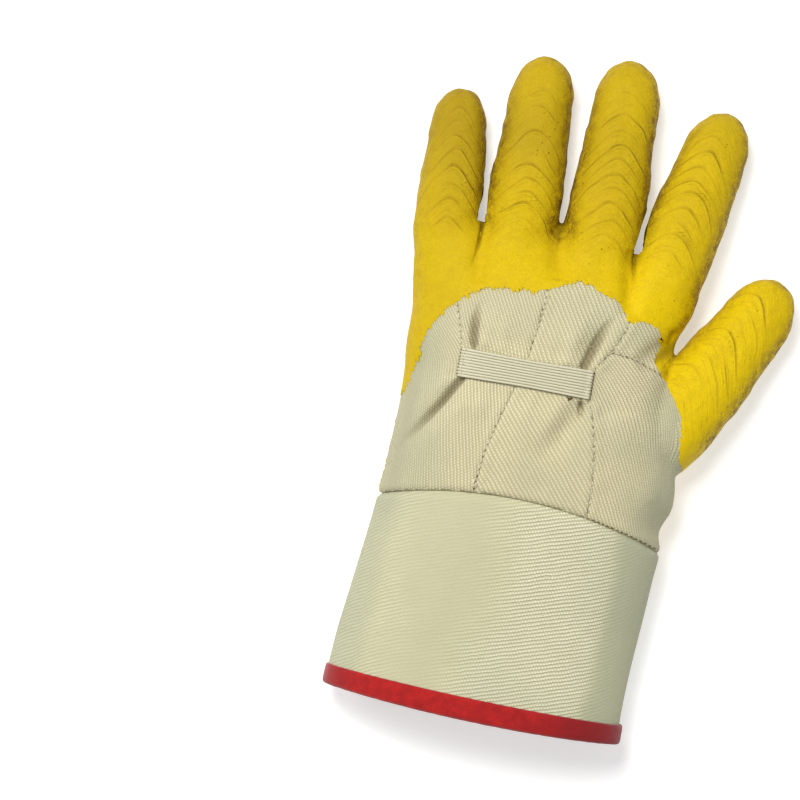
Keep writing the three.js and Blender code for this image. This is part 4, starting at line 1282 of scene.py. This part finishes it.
# The tape over the rim: its section as distances from the wrist seam and offsets from the cuff's outside
OUT = CLEARANCE + TAPE_WALL
IN = -CUFF_WALL - CLEARANCE
rim, start = CUFF_LENGTH + CLEARANCE, CUFF_LENGTH - TAPE_WIDTH
profile = [(start, 0.25), (start - 0.15, 0.7), (start + 0.1, OUT - 0.15), (start + 0.8, OUT)]
profile += [(d, OUT + 0.1) for d in np.linspace(start + 1.6, rim - 1.3, 7)]
for turn in np.radians(np.linspace(75, -75, 9)):
    middle, half = (OUT + IN - TAPE_WALL) / 2, (OUT - IN + TAPE_WALL) / 2
    profile.append((rim - 0.4 + 1.4 * math.cos(turn), middle + half * math.sin(turn)))
profile += [(d, IN - TAPE_WALL) for d in np.linspace(rim - 1.0, start + 0.5, 6)]
profile += [(start, IN - 0.6), (start + 0.4, IN), (rim - 0.8, IN), (rim - 0.1, (IN + CLEARANCE) / 2)]
profile += [(rim - 0.8, CLEARANCE - 0.1), (start + 0.6, 0.22)]
rows = []
for distance, offset in profile:
    row = cuff_ring(distance, AROUND, offset)
    row = row + 0.09 * noise(row, 2.2, 110)[:, None] * [0, 1, 0.6]
    row[:, 2] = np.maximum(row[:, 2], 0.0)
    rows.append(row)
tape, tape_faces = closed(rows, loop=True)
run = np.cumsum(np.linalg.norm(np.diff(rows[8], axis=0, append=rows[8][:1]), axis=1))
across = np.cumsum([0] + [math.dist(a, b) for a, b in zip(profile[:-1], profile[1:])])
# Painted shade: the tape darkens toward the thumb side and, less, toward the far little-finger side
painted_tape_shade = 0.1 + 0.75 * smoothstep(tape[:, 0], 15, 45) + 0.4 * smoothstep(-tape[:, 0], 50, 60)
values = columns(np.repeat(across, len(AROUND)), np.tile(run, len(profile)), painted_tape_shade)
build("rim_tape", tape, tape_faces, TAPE, {"weave": values}, "binding_tape", ["cuff_binding"])

# A pale floor, soft light from above, and the camera over the glove as in the photograph
FLOOR_HALF, FLOOR_AT = 3, -0.0004
mesh = bpy.data.meshes.new("floor")
corners = [(x * FLOOR_HALF, y * FLOOR_HALF, FLOOR_AT) for x, y in ((-1, -1), (1, -1), (1, 1), (-1, 1))]
mesh.from_pydata(corners, [], [(0, 1, 2, 3)])
floor = bpy.data.objects.new("floor", mesh)
bpy.context.scene.collection.objects.link(floor)
floor_looks, floor_shader, _, _ = material("pale_floor", 0.9, Specular_IOR_Level=0.1)
floor_shader.inputs["Base Color"].default_value = (0.7, 0.7, 0.7, 1)
floor_shader.inputs["Emission Color"].default_value = (1, 1, 1, 1)
floor_shader.inputs["Emission Strength"].default_value = 0.45
mesh.materials.append(floor_looks)


def area_light(name, place, size, power):
    """A square light that shines on the middle of the glove."""
    lamp = bpy.data.lights.new(name, "AREA")
    lamp.shape = "SQUARE"
    lamp.size = size
    lamp.energy = power
    held = bpy.data.objects.new(name, lamp)
    held.location = place
    held.rotation_euler = (-Vector(place)).to_track_quat("-Z", "Y").to_euler()
    bpy.context.scene.collection.objects.link(held)


area_light("key", (-0.45, 0.55, 1.5), 0.6, 23.0)
area_light("fill", (0.75, -0.45, 1.5), 1.0, 5.0)
area_light("side", (-1.1, 0.3, 0.8), 0.6, 4.0)
world = bpy.data.worlds.new("studio")
world.use_nodes = True
sky = world.node_tree.nodes["Background"].inputs
sky["Color"].default_value = (1, 1, 1, 1)
sky["Strength"].default_value = 0.29
bpy.context.scene.world = world
bpy.context.scene.view_settings.view_transform = "Standard"

DISTANCE = 2.6  # from the camera to the floor, far enough for the photo's flat perspective
SEEN_WIDTH, SEEN_AT = 0.3293, 0.014  # how much the picture shows across, and at what height over the floor
SENSOR = 36.0
lens = bpy.data.cameras.new("camera")
lens.sensor_width = SENSOR
lens.lens = SENSOR * (DISTANCE - SEEN_AT) / SEEN_WIDTH
camera = bpy.data.objects.new("camera", lens)
camera.location = (-0.0695, -0.0158, DISTANCE)
camera.rotation_euler = (0, 0, math.radians(12))
bpy.context.scene.collection.objects.link(camera)
bpy.context.scene.camera = camera
